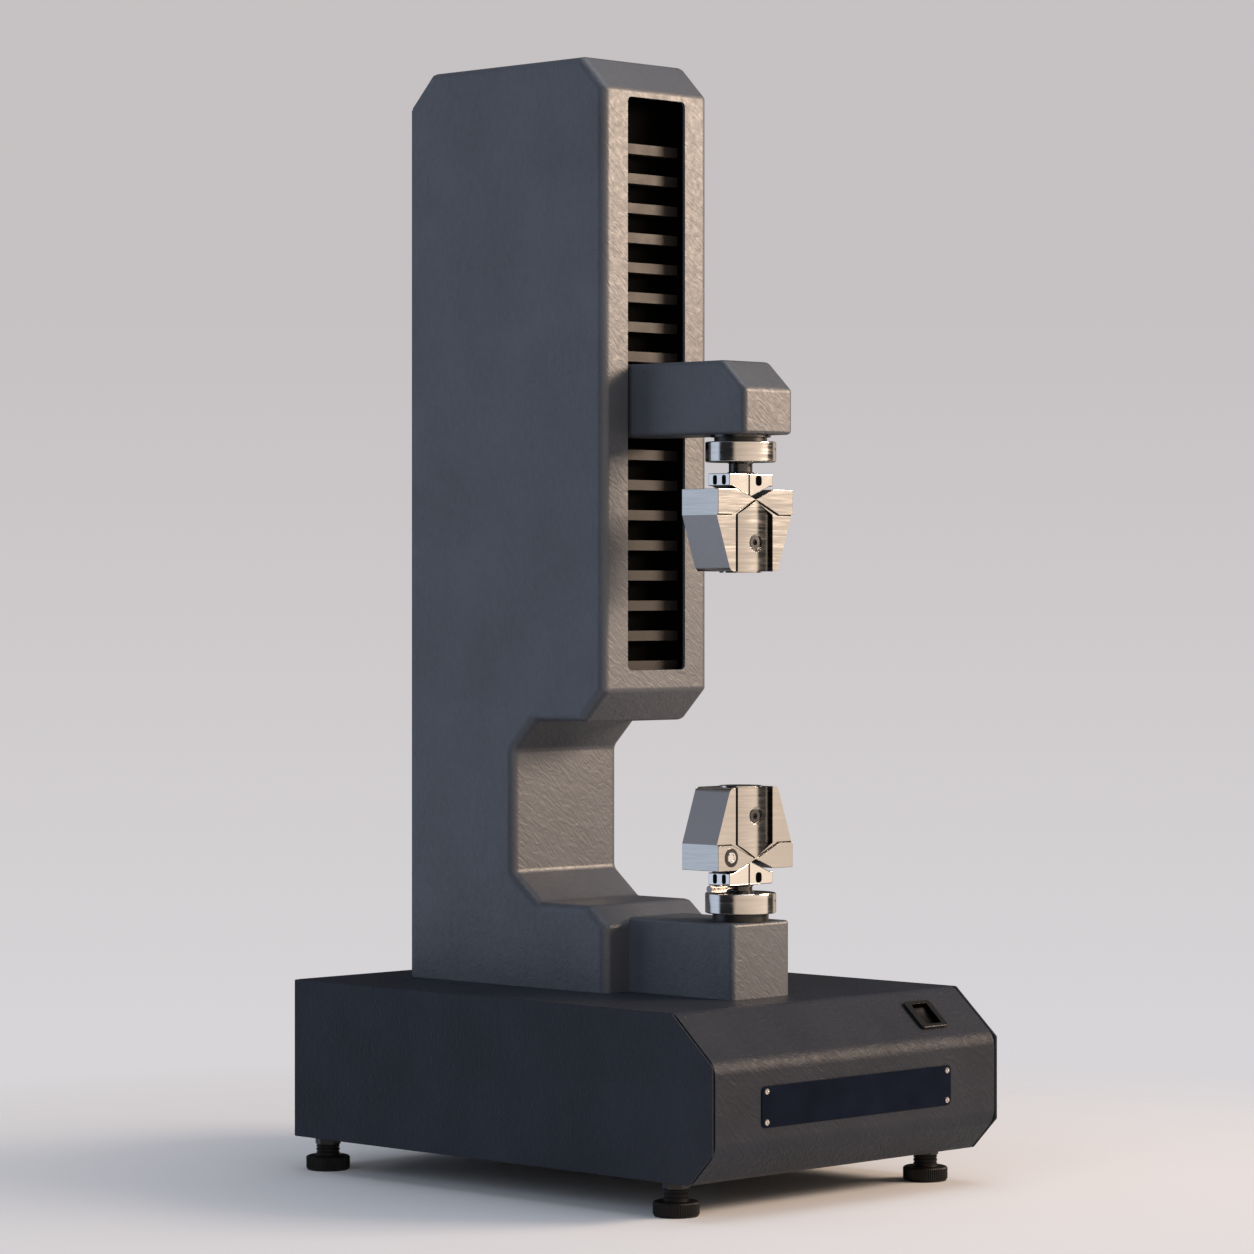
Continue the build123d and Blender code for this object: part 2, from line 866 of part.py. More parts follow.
def ball_nut():
    """The flanged nut on the screw."""
    flange_low = arm_middle_z + nut_housing_height / 2
    flange_high = flange_low + nut_flange_height
    nut = upright_rod(nut_radius, column_centre_x, screw_y, flange_high - nut_length, flange_high)
    nut += upright_rod(nut_flange_radius, column_centre_x, screw_y, flange_low, flange_high)
    nut -= upright_rod(
        screw_radius + running_gap, column_centre_x, screw_y, flange_high - nut_length, flange_high
    )
    return nut


def bearing_block(z_low):
    """A block bolted inside the spine, with a bore for the screw's journal."""
    half_width = rail_gap_half()
    block = box_between(
        column_centre_x - half_width, column_centre_x + half_width,
        screw_y - screw_setback / 2, spine_back_y - spine_wall, z_low, z_low + bearing_height,
    )
    bore = upright_rod(
        screw_journal_radius + running_gap, column_centre_x, screw_y, z_low, z_low + bearing_height
    )
    return block - bore


def ball_screw():
    """The screw, with a thinner journal at each end."""
    lower_end = belt_middle_z - belt_width / 2 - 2 * pulley_flange_height
    upper_end = spine_top_z + screw_top_margin
    thread_low = deck_top_z + bearing_height + turning_gap
    thread_high = spine_top_z - bearing_height - turning_gap
    screw = upright_rod(screw_journal_radius, column_centre_x, screw_y, lower_end, upper_end)
    return screw + upright_rod(screw_radius, column_centre_x, screw_y, thread_low, thread_high)


def pulley(x, bore_radius):
    """A flanged pulley for the drive belt."""
    low_z = belt_middle_z - belt_width / 2 - turning_gap
    high_z = belt_middle_z + belt_width / 2 + turning_gap
    wheel = upright_rod(pulley_radius, x, screw_y, low_z, high_z)
    for rim_low in (low_z - pulley_flange_height, high_z):
        wheel += upright_rod(pulley_flange_radius, x, screw_y, rim_low, rim_low + pulley_flange_height)
    return wheel - upright_rod(bore_radius, x, screw_y, low_z - pulley_space, high_z + pulley_space)


def drive_belt():
    """The toothed belt between the motor and the screw, drawn as a plain loop."""
    inner = pulley_radius + belt_gap
    outer = inner + belt_thickness
    middle_x = column_centre_x + motor_offset_x / 2
    loop = SlotCenterToCenter(motor_offset_x, 2 * outer) - SlotCenterToCenter(motor_offset_x, 2 * inner)
    return Pos(middle_x, screw_y, belt_middle_z - belt_width / 2) * extrude(loop, amount=belt_width)


def limit_switches():
    """Two small switches on the spine's side that stop the carriage at its ends."""
    switches = []
    x = column_centre_x + spine_width / 2
    for z in (rail_bottom_z, rail_top_z - limit_switch_height):
        switches.append(box_between(
            x, x + limit_switch_size / 2, spine_front_y + limit_switch_size / 2,
            spine_front_y + 2 * limit_switch_size, z, z + limit_switch_height,
        ))
    return separate(switches)


# Bellows

def bellows_frame():
    """The frame behind the slot that guides the edges of the bellows."""
    half_width = bellows_width / 2 + seat_gap + bellows_frame_wall
    low_z = slot_bottom_z - bellows_overlap - bellows_frame_wall
    high_z = slot_top_z + bellows_overlap + bellows_frame_wall
    outside = box_between(
        column_centre_x - half_width, column_centre_x + half_width,
        front_wall_back_y, front_wall_back_y + bellows_frame_depth, low_z, high_z,
    )
    inside = box_between(
        column_centre_x - half_width + bellows_frame_wall,
        column_centre_x + half_width - bellows_frame_wall,
        front_wall_back_y, front_wall_back_y + bellows_frame_depth,
        low_z + bellows_frame_wall, high_z - bellows_frame_wall,
    )
    return outside - inside


def pleated_sheet(z_low, z_high, pleats):
    """A sheet folded into flat ridges, from one end to the other."""
    ridge_y = front_wall_back_y + bellows_setback
    valley_y = ridge_y + bellows_pleat_depth
    pitch = (z_high - z_low) / pleats
    ridge = pitch * pleat_ridge_share
    front = []
    for fold in range(pleats):
        middle = z_low + (fold + 0.5) * pitch
        front.append((valley_y, middle - pitch / 2))
        front.append((ridge_y, middle - ridge / 2))
        front.append((ridge_y, middle + ridge / 2))
    front.append((valley_y, z_high))
    back = [(y + bellows_skin, z) for y, z in reversed(front)]
    half_width = bellows_width / 2
    return across_x(face_through(front + back), column_centre_x - half_width, column_centre_x + half_width)


def upper_bellows():
    """The bellows above the arm."""
    return pleated_sheet(arm_top_z + seat_gap, slot_top_z + bellows_overlap, upper_pleats)


def lower_bellows():
    """The bellows below the arm."""
    return pleated_sheet(slot_bottom_z - bellows_overlap, arm_bottom_z - seat_gap, lower_pleats)


# Arm and load cell

def crosshead_arm():
    """The hollow arm that reaches out of the slot and carries the upper grip."""
    outline = face_through([
        (plate_front_y, arm_bottom_z),
        (arm_front_y, arm_bottom_z),
        (arm_front_y, arm_top_z - arm_corner_height),
        (arm_front_y + arm_corner_depth, arm_top_z),
        (plate_front_y, arm_top_z),
    ])
    left_x = column_centre_x - arm_width / 2
    right_x = column_centre_x + arm_width / 2
    arm = across_x(outline, left_x, right_x)
    arm = fillet([edge for edge in arm.edges() if edge.center().Y < plate_front_y - 1], arm_edge_radius)
    arm -= box_between(
        left_x + arm_wall, right_x - arm_wall, arm_front_y + arm_nose, plate_front_y,
        arm_bottom_z + arm_wall, arm_top_z - arm_wall,
    )
    return arm - upright_rod(
        load_cell_radius + seat_gap, column_centre_x, grip_axis_y,
        arm_bottom_z, arm_bottom_z + load_cell_body,
    )


def load_cell():
    """The canister load cell, let into the arm from below."""
    cell = upright_rod(
        load_cell_radius, column_centre_x, grip_axis_y,
        arm_bottom_z - load_cell_reach, arm_bottom_z + load_cell_body,
    )
    return cell - upright_rod(
        stem_radius + running_gap, column_centre_x, grip_axis_y,
        arm_bottom_z - load_cell_reach, arm_bottom_z + load_cell_body / 2,
    )


def load_cell_flange():
    """The thin ring that clamps the load cell under the arm."""
    ring = upright_rod(
        flange_radius, column_centre_x, grip_axis_y, arm_bottom_z - flange_height, arm_bottom_z
    )
    return ring - upright_rod(
        load_cell_radius + running_gap, column_centre_x, grip_axis_y,
        arm_bottom_z - flange_height, arm_bottom_z,
    )


# Lower block

def lower_block():
    """The hollow casting that carries the lower grip in front of the pedestal."""
    half_width = block_width / 2
    block = box_between(
        column_centre_x - half_width, column_centre_x + half_width,
        block_front_y, pedestal_front_y, base_top_z, block_top_z,
    )
    rounded = [
        edge for edge in block.edges()
        if edge.center().Y < pedestal_front_y - 1 and edge.center().Z > base_top_z + 1
    ]
    block = fillet(rounded, block_edge_radius)
    block -= box_between(
        column_centre_x - half_width + block_wall, column_centre_x + half_width - block_wall,
        block_front_y + block_wall, pedestal_front_y - block_wall,
        base_top_z, block_top_z - block_wall,
    )
    return block - upright_rod(
        stem_radius + running_gap, column_centre_x, grip_axis_y, block_top_z - block_wall, block_top_z
    )


def block_post():
    """The solid post under the lower grip, from the deck to the top of the block."""
    return upright_rod(
        post_radius, column_centre_x, grip_axis_y, deck_top_z, block_top_z - block_wall
    )


def base_disc():
    """The black disc between the block and the lower lock ring."""
    disc = upright_rod(disc_radius, column_centre_x, grip_axis_y, block_top_z, lower_ring_z)
    return disc - upright_rod(
        stem_radius + running_gap, column_centre_x, grip_axis_y, block_top_z, lower_ring_z
    )


# Grips. Each is drawn pointing up, with z = 0 at its wide end, x = 0 and y = 0 on its axis.

def lock_ring():
    """The chromed ring that is turned to lock an adapter."""
    ring = upright_rod(ring_radius, 0, 0, 0, ring_height - turning_gap)
    ring = chamfer(ring.edges(), ring_chamfer)
    return ring - upright_rod(stem_radius + turning_gap, 0, 0, 0, ring_height)


def adapter(neck_length, stem_length):
    """Stem, neck and clevis, with the tongue that enters the grip."""
    neck_z = -clevis_height - neck_length
    stem = upright_rod(stem_radius, 0, 0, neck_z - stem_length, neck_z)
    neck = upright_rod(neck_radius, 0, 0, neck_z, -clevis_height)
    half_width = clevis_width / 2
    shoulder = notch_width / 2
    outline = face_through([
        (-half_width, -clevis_height),
        (half_width, -clevis_height),
        (half_width, -swivel_gap),
        (shoulder, -swivel_gap),
        (0, notch_depth - swivel_gap),
        (-shoulder, -swivel_gap),
        (-half_width, -swivel_gap),
    ])
    body = across_y(outline, -clevis_depth / 2, clevis_depth / 2)
    tongue_back = tongue_setback + tongue_thickness / 2
    tongue_front = tongue_setback - tongue_thickness / 2
    tongue = box_between(
        -tongue_half_width, tongue_half_width, tongue_front, tongue_back, -swivel_gap, pivot_height
    )
    tongue += rod_along_y(tongue_half_width, 0, pivot_height, tongue_front, tongue_back)
    solid = stem + neck + body + tongue
    solid -= rod_along_y(pivot_radius + running_gap, 0, pivot_height, tongue_front, tongue_back)
    solid -= rod_along_y(
        neck_pin_radius + running_gap, 0, -clevis_height - neck_length / 2, -neck_radius, neck_radius
    )
    front_y = -clevis_depth / 2
    solid -= box_between(
        -clevis_groove / 2, clevis_groove / 2, front_y, front_y + clevis_groove_depth,
        -clevis_height, notch_depth,
    )
    window = Pos(window_offset, -clevis_height / 2 + 1) * RectangleRounded(
        window_width, window_height, window_width / 4
    )
    return solid - across_y(window, front_y, front_y + window_depth)


def neck_pin(neck_length):
    """The cross pin through the neck."""
    reach = neck_radius + neck_pin_stand_out
    return rod_along_y(neck_pin_radius, 0, -clevis_height - neck_length / 2, -reach, reach)


def grip_outline(inset):
    """The front view of a grip: a straight band, then a taper to the narrow end."""
    wide = grip_width / 2 - inset
    narrow = grip_narrow_width / 2 - inset
    return face_through([
        (-wide, 0), (wide, 0), (wide, grip_band),
        (narrow, grip_height), (-narrow, grip_height), (-wide, grip_band),
    ])


def grip_body():
    """The tapered body, with its notch, its front channel and the hollow for the jaws."""
    body = across_y(grip_outline(0), -grip_front, grip_back)
    body = fillet(body.edges(), grip_edge_radius)
    taper_top = box_between(
        -grip_width, grip_width, -grip_front, -grip_front + band_step, grip_band, grip_height
    )
    body -= taper_top
    notch = face_through([(-notch_width / 2, 0), (notch_width / 2, 0), (0, notch_depth)])
    body -= across_y(notch, -grip_front, grip_back)
    half_channel = channel_width / 2
    channel = face_through([
        (-half_channel, grip_height), (-half_channel, channel_end), (0, notch_depth),
        (half_channel, channel_end), (half_channel, grip_height),
    ])
    body -= across_y(channel, -grip_front, -grip_front + channel_depth)
    half_jaw = jaw_radius + seat_gap
    roof_z = channel_end + seat_gap
    jaw_room = face_through([
        (-half_jaw, grip_height), (-half_jaw, roof_z), (0, roof_z - jaw_roof_height),
        (half_jaw, roof_z), (half_jaw, grip_height),
    ])
    body -= across_y(jaw_room, -grip_front, jaw_gap / 2)
    body -= upright_rod(half_jaw, 0, 0, rear_jaw_floor, grip_height)
    slot_half_width = tongue_half_width + swivel_gap
    body -= box_between(
        -slot_half_width, slot_half_width,
        tongue_setback - tongue_thickness / 2 - seat_gap,
        tongue_setback + tongue_thickness / 2 + seat_gap,
        0, pivot_height + tongue_half_width + seat_gap,
    )
    return body - rod_along_y(pivot_radius + running_gap, 0, pivot_height, jaw_gap, grip_back)


def pivot_pin():
    """The pin that the grip swivels on, put in from the back."""
    return rod_along_y(pivot_radius, 0, pivot_height, jaw_gap + seat_gap, grip_back)


def half_round(z_low, z_high, front):
    """Half of the round jaw pair, in front of or behind the gap."""
    whole = upright_rod(jaw_radius, 0, 0, z_low, z_high)
    if front:
        keep = box_between(-jaw_radius, jaw_radius, -jaw_radius, -jaw_gap / 2, z_low, z_high)
    else:
        keep = box_between(-jaw_radius, jaw_radius, jaw_gap / 2, jaw_radius, z_low, z_high)
    return whole & keep


def front_jaw():
    """The half-round jaw that shows in the channel, with a pitched end and a screw seat."""
    tip_z = channel_end - jaw_roof_height + 2 * seat_gap
    roof_z = channel_end + 2 * seat_gap
    end_z = grip_height + jaw_stand_out
    jaw = half_round(tip_z, end_z, True)
    pitched = face_through([
        (-jaw_radius, end_z), (-jaw_radius, roof_z), (0, tip_z), (jaw_radius, roof_z), (jaw_radius, end_z),
    ])
    jaw = jaw & across_y(pitched, -jaw_radius, 0)
    jaw += jaw_shield()
    seat_y = -jaw_radius + clamp_head_recess + clamp_head_height
    jaw -= rod_along_y(counterbore_radius, 0, screw_height, -jaw_radius, seat_y)
    return jaw - rod_along_y(clamp_shank_radius + running_gap, 0, screw_height, seat_y, -jaw_gap / 2)


def jaw_shield():
    """The wide curved face of the front jaw, which fills the channel."""
    back_y = -grip_front + channel_depth - shield_gap
    side_y = back_y - shield_side
    plan = make_face(
        Line((-shield_half_width, back_y), (-shield_half_width, side_y))
        + ThreePointArc((-shield_half_width, side_y), (0, -jaw_radius), (shield_half_width, side_y))
        + Line((shield_half_width, side_y), (shield_half_width, back_y))
        + Line((shield_half_width, back_y), (-shield_half_width, back_y))
    )
    roof_z = channel_end + 2 * seat_gap
    tip_z = notch_depth + 2 * seat_gap
    pitched = face_through([
        (-shield_half_width, grip_height), (-shield_half_width, roof_z), (0, tip_z),
        (shield_half_width, roof_z), (shield_half_width, grip_height),
    ])
    shield = extrude(plan, amount=grip_height)
    return shield & across_y(pitched, -jaw_radius, back_y)


def rear_jaw():
    """The half-round jaw that is fixed in the body, tapped for the clamp screw."""
    jaw = half_round(rear_jaw_floor, grip_height + jaw_stand_out, False)
    return jaw - rod_along_y(clamp_shank_radius + running_gap, 0, screw_height, jaw_gap / 2, jaw_radius)


def clamp_screw():
    """The socket screw that draws the front jaw towards the rear one."""
    head_front = -jaw_radius + clamp_head_recess
    seat_y = head_front + clamp_head_height
    screw = rod_along_y(clamp_head_radius, 0, screw_height, head_front, seat_y - seat_gap / 3)
    screw += rod_along_y(clamp_shank_radius, 0, screw_height, head_front, jaw_radius - 1)
    key = RegularPolygon(clamp_socket_radius, 6)
    socket = across_y(Pos(0, screw_height) * key, head_front, head_front + clamp_socket_depth)
    return screw - socket


def cheek_pin():
    """The round pin let into the left cheek of the lower grip."""
    return rod_along_y(
        cheek_pin_radius, -cheek_pin_offset, cheek_pin_height,
        -grip_front - cheek_pin_stand_out, -grip_front + cheek_pin_length,
    )


def thumb_screw():
    """The knurled screw that locks the lower adapter's neck."""
    z = thumb_rise - clevis_height - lower_neck_length
    knob = rod_along_x(thumb_radius, 0, z, -thumb_offset - thumb_length, -thumb_offset)
    knob = chamfer(knob.edges(), thumb_radius / 8)
    shank = rod_along_x(thumb_shank_radius, 0, z, -thumb_offset, -neck_radius + 3 * thumb_shank_radius)
    return knob + shank


def place_lower(shape):
    """Put a piece of a grip on the block, upright."""
    return Pos(column_centre_x, grip_axis_y, lower_grip_z) * shape


def place_upper(shape):
    """Put a piece of a grip under the arm, hanging."""
    return Pos(column_centre_x, grip_axis_y, upper_grip_z) * mirror(shape, about=Plane.XY)


def lower_adapter():
    """The adapter between the block and the lower grip."""
    piece = adapter(lower_neck_length, ring_height + disc_height + block_wall)
    z = thumb_rise - clevis_height - lower_neck_length
    return piece - rod_along_x(
        thumb_shank_radius + running_gap, 0, z, -neck_radius, -neck_radius + 3 * thumb_shank_radius
    )


def upper_adapter():
    """The adapter between the load cell and the upper grip."""
    return adapter(upper_neck_length, ring_height + load_cell_reach + load_cell_body / 2 - seat_gap)


def lower_grip_body():
    """The lower grip's body, with the seat of its cheek pin."""
    return grip_body() - rod_along_y(
        cheek_pin_radius + running_gap, -cheek_pin_offset, cheek_pin_height,
        -grip_front, -grip_front + cheek_pin_length,
    )


def ring_in_place(ring_low_z):
    """A lock ring on the grip axis, with its running gap above it."""
    return Pos(column_centre_x, grip_axis_y, ring_low_z) * lock_ring()


# Drive and electronics

def motor_body():
    """The drive motor, hung below its bracket, without its shaft."""
    body = extrude(RectangleRounded(motor_size, motor_size, motor_corner_radius), amount=motor_height)
    body = Pos(motor_x, screw_y, motor_top_z - motor_height) * body
    return body - upright_rod(
        motor_shaft_radius + turning_gap, motor_x, screw_y, motor_top_z - motor_height / 2, motor_top_z
    )


def motor_bracket():
    """The plate that the motor hangs on, with two legs up to the deck."""
    half = motor_size / 2
    plate = box_between(
        motor_x - half, motor_x + half, screw_y - half - motor_bracket_leg,
        screw_y + half + motor_bracket_leg, motor_top_z, motor_top_z + motor_bracket_wall,
    )
    for side in (-1, 1):
        leg_inner = screw_y + side * half
        leg_outer = screw_y + side * (half + motor_bracket_leg)
        plate += box_between(
            motor_x - half, motor_x + half, min(leg_inner, leg_outer), max(leg_inner, leg_outer),
            motor_top_z, deck_bottom_z,
        )
    return plate - upright_rod(
        motor_shaft_radius + turning_gap, motor_x, screw_y, motor_top_z, motor_top_z + motor_bracket_wall
    )


def motor_rotor():
    """The motor's shaft with its pulley."""
    shaft_top = belt_middle_z + belt_width / 2 + 3 * pulley_flange_height
    shaft = upright_rod(
        motor_shaft_radius, motor_x, screw_y, motor_top_z - motor_height / 2 + turning_gap, shaft_top
    )
    return shaft + pulley(motor_x, motor_shaft_radius)


def power_supply():
    """The closed power supply on the tray."""
    left_x = -inner_half_width + tray_item_gap
    front_y = base_front_y + bottom_chamfer_depth + tray_item_gap + foot_inset_front
    return box_between(
        left_x, left_x + power_supply_width, front_y, front_y + power_supply_length,
        tray_top_z, tray_top_z + power_supply_height,
    )


def board_corner():
    """The front left corner of the control board."""
    left_x = -inner_half_width + tray_item_gap
    supply_back = base_front_y + bottom_chamfer_depth + 2 * tray_item_gap + foot_inset_front
    return left_x, supply_back + power_supply_length


def control_board():
    """The circuit board with its tall parts, on four pillars."""
    left_x, front_y = board_corner()
    low_z = tray_top_z + standoff_height
    high_z = low_z + board_thickness
    board = box_between(left_x, left_x + board_width, front_y, front_y + board_length, low_z, high_z)
    heat_sink = box_between(
        left_x + board_width / 4, left_x + board_width * 3 / 4,
        front_y + board_length / 8, front_y + board_length * 3 / 8, high_z, high_z + 4 * standoff_height,
    )
    board += heat_sink
    for step in range(3):
        x = left_x + (step + 1) * board_width / 4
        board += upright_rod(2 * standoff_radius, x, front_y + board_length * 3 / 4,
                             high_z, high_z + 3 * standoff_height)
    inset = 2 * standoff_radius
    pillars = []
    for x in (left_x + inset, left_x + board_width - inset):
        for y in (front_y + inset, front_y + board_length - inset):
            pillars.append(upright_rod(standoff_radius, x, y, tray_top_z, tray_top_z + standoff_height))
    return separate([board] + pillars)


def all_nodes():
    """Every sub-part by name."""
    nodes = {
        "base_tray": base_tray(),
        "base_cover": base_cover(),
        "left_side_panel": side_panel(-1),
        "right_side_panel": side_panel(1),
        "rear_panel": rear_panel(),
        "cover_screws": cover_screws(),
        "deck_plate": deck_plate(),
        "deck_posts": deck_posts(),
        "name_plate": name_plate(),
        "plate_rivets": plate_rivets(),
        "switch_bezel": switch_bezel(),
        "switch_rocker": switch_rocker(),
        "power_inlet": power_inlet(),
        "data_port": data_port(),
        "power_supply": power_supply(),
        "control_board": control_board(),
        "motor_body": motor_body(),
        "motor_bracket": motor_bracket(),
        "motor_rotor": motor_rotor(),
        "drive_belt": drive_belt(),
        "column_shell": column_shell(),
        "column_rear_cover": column_rear_cover(),
        "column_spine": column_spine(),
        "guide_rails": guide_rails(),
        "rail_carriages": rail_carriages(),
        "carriage_plate": carriage_plate(),
        "nut_housing": nut_housing(),
        "ball_nut": ball_nut(),
        "ball_screw": separate([ball_screw(), pulley(column_centre_x, screw_journal_radius)]),
        "bearing_blocks": separate([bearing_block(deck_top_z), bearing_block(spine_top_z - bearing_height)]),
        "limit_switches": limit_switches(),
        "bellows_frame": bellows_frame(),
        "upper_bellows": upper_bellows(),
        "lower_bellows": lower_bellows(),
        "crosshead_arm": crosshead_arm(),
        "load_cell": load_cell(),
        "load_cell_flange": load_cell_flange(),
        "lower_block": lower_block(),
        "block_post": block_post(),
        "base_disc": base_disc(),
        "lower_lock_ring": ring_in_place(lower_ring_z),
        "lower_adapter": place_lower(separate([lower_adapter(), neck_pin(lower_neck_length)])),
        "lower_thumb_screw": place_lower(thumb_screw()),
        "lower_grip_body": place_lower(lower_grip_body()),
        "lower_grip_pins": place_lower(separate([pivot_pin(), cheek_pin()])),
        "upper_lock_ring": ring_in_place(upper_ring_z - ring_height),
        "upper_adapter": place_upper(separate([upper_adapter(), neck_pin(upper_neck_length)])),
        "upper_grip_body": place_upper(grip_body()),
        "upper_grip_pin": place_upper(pivot_pin()),
    }
    for level, place in (("lower", place_lower), ("upper", place_upper)):
        nodes[level + "_front_jaw"] = place(front_jaw())
        nodes[level + "_rear_jaw"] = place(rear_jaw())
        nodes[level + "_clamp_screw"] = place(clamp_screw())
    for name, (x, y) in zip(("front_left", "front_right", "rear_left", "rear_right"), foot_places()):
        nodes[name + "_foot"] = foot(x, y)
    return nodes


os.makedirs("parts", exist_ok=True)
for node_name, node_shape in all_nodes().items():
    export_step(node_shape, "parts/" + node_name + ".step")
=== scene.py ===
import math

import bmesh
import bpy
from mathutils import Matrix, Vector


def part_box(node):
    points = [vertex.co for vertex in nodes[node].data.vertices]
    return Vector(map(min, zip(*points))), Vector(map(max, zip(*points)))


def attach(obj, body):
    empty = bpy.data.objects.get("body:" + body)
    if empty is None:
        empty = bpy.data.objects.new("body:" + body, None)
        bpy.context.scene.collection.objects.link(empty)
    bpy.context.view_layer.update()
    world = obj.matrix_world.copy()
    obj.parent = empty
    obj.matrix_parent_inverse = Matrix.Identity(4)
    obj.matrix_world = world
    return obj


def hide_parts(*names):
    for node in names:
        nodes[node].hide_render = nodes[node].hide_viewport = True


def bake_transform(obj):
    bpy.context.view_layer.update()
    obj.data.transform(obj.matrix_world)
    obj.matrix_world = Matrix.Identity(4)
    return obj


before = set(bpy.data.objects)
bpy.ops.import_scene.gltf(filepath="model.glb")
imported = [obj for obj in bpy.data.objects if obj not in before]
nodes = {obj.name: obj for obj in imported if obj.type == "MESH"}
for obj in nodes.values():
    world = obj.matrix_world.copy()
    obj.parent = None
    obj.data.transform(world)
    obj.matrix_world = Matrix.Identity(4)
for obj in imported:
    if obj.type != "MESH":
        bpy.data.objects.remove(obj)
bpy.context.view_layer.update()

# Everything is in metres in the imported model's frame: X to the right, Y to the back, Z up.
MM = 0.001

# How far a cutting shape reaches past the faces that it opens
PAST = 0.01


# Meshes and their steps

def new_piece(name, work, material):
    """A new object with one material, from a mesh under work."""
    mesh = bpy.data.meshes.new(name)
    work.to_mesh(mesh)
    work.free()
    piece = bpy.data.objects.new(name, mesh)
    bpy.context.scene.collection.objects.link(piece)
    piece.data.materials.append(material)
    return piece


def smooth_faces(piece, angle=32.0):
    """Smooth shading, with edges sharper than the angle kept sharp and flat faces kept flat."""
    work = bmesh.new()
    work.from_mesh(piece.data)
    bmesh.ops.recalc_face_normals(work, faces=work.faces)
    limit = math.radians(angle)
    for face in work.faces:
        face.smooth = True
    for edge in work.edges:
        if len(edge.link_faces) == 2:
            edge.smooth = edge.calc_face_angle() < limit
    work.to_mesh(piece.data)
    work.free()
    weighted = piece.modifiers.new("even_normals", "WEIGHTED_NORMAL")
    weighted.keep_sharp = True
    weighted.weight = 100
    return piece


def apply_modifiers(piece):
    """The piece's modifiers become part of its mesh."""
    graph = bpy.context.evaluated_depsgraph_get()
    graph.update()
    final = bpy.data.meshes.new_from_object(piece.evaluated_get(graph))
    piece.modifiers.clear()
    piece.data = final
    return piece


def prism(outline, axis, low, high):
    """A closed prism: the outline's points are on the two other axes, in X, Y, Z order."""
    work = bmesh.new()
    others = [i for i in range(3) if i != axis]
    rings = []
    for level in (low, high):
        ring = []
        for a, b in outline:
            place = [0.0, 0.0, 0.0]
            place[axis] = level
            place[others[0]] = a
            place[others[1]] = b
            ring.append(work.verts.new(place))
        rings.append(ring)
    count = len(outline)
    work.faces.new(rings[0])
    work.faces.new(rings[1])
    for i in range(count):
        j = (i + 1) % count
        work.faces.new((rings[0][i], rings[0][j], rings[1][j], rings[1][i]))
    bmesh.ops.recalc_face_normals(work, faces=work.faces)
    return work


def box_mesh(low, high):
    """A closed box between two corners."""
    outline = [(low[0], low[1]), (high[0], low[1]), (high[0], high[1]), (low[0], high[1])]
    return prism(outline, 2, low[2], high[2])


def arc(centre, radius, start, end, steps):
    """Points on an arc, with angles in degrees."""
    points = []
    for i in range(steps + 1):
        a = math.radians(start + (end - start) * i / steps)
        points.append((centre[0] + radius * math.cos(a), centre[1] + radius * math.sin(a)))
    return points


def rounded_rectangle(centre, width, height, radius, steps=6):
    """The outline of a rectangle with round corners."""
    points = []
    for side_x, side_y, start in ((1, 1, 0), (-1, 1, 90), (-1, -1, 180), (1, -1, 270)):
        corner = (centre[0] + side_x * (width / 2 - radius), centre[1] + side_y * (height / 2 - radius))
        points += arc(corner, radius, start, start + 90, steps)
    return points


def bevel(piece, width, segments=3, angle=30.0, weights=False):
    """A rounding along the piece's sharp edges, or along its weighted edges."""
    step = piece.modifiers.new("rounding", "BEVEL")
    step.width = width
    step.segments = segments
    step.limit_method = "WEIGHT" if weights else "ANGLE"
    step.angle_limit = math.radians(angle)
    step.use_clamp_overlap = True
    step.miter_outer = "MITER_ARC"
    return piece


def weigh_edges(piece, chosen):
    """Bevel weights for the edges that the function picks."""
    layer = piece.data.attributes.new("bevel_weight_edge", "FLOAT", "EDGE")
    corners = piece.data.vertices
    for edge in piece.data.edges:
        a, b = (corners[i].co for i in edge.vertices)
        layer.data[edge.index].value = chosen(a, b)
    return piece


def combine(piece, work, operation, material):
    """Joins a closed shape to the piece or takes it out. New faces get the material, where one is given."""
    shape = new_piece("shape", work, material or piece.data.materials[0])
    step = piece.modifiers.new("combined", "BOOLEAN")
    step.object = shape
    step.operation = operation
    step.solver = "MANIFOLD"
    step.material_mode = "TRANSFER" if material else "INDEX"
    apply_modifiers(piece)
    bpy.data.objects.remove(shape)
    return piece


def cut(piece, work, material=None):
    """Takes a closed shape out of the piece."""
    return combine(piece, work, "DIFFERENCE", material)


def add(piece, work, material=None):
    """Joins a closed shape to the piece."""
    return combine(piece, work, "UNION", material)


def lathe(profile, steps=64):
    """A closed solid of revolution about Z. The profile's points are (radius, z), in order."""
    work = bmesh.new()
    rings = []
    for radius, z in profile:
        if radius < 1e-7:
            rings.append([work.verts.new((0, 0, z))])
            continue
        ring = []
        for i in range(steps):
            a = 2 * math.pi * i / steps
            ring.append(work.verts.new((radius * math.cos(a), radius * math.sin(a), z)))
        rings.append(ring)
    pairs = list(zip(rings, rings[1:]))
    if len(rings[0]) > 1 and len(rings[-1]) > 1:
        pairs.append((rings[-1], rings[0]))
    for one, two in pairs:
        for i in range(steps):
            j = (i + 1) % steps
            if len(one) == 1 and len(two) == 1:
                continue
            if len(one) == 1:
                work.faces.new((one[0], two[i], two[j]))
            elif len(two) == 1:
                work.faces.new((one[i], two[0], one[j]))
            else:
                work.faces.new((one[i], two[i], two[j], one[j]))
    bmesh.ops.recalc_face_normals(work, faces=work.faces)
    return work


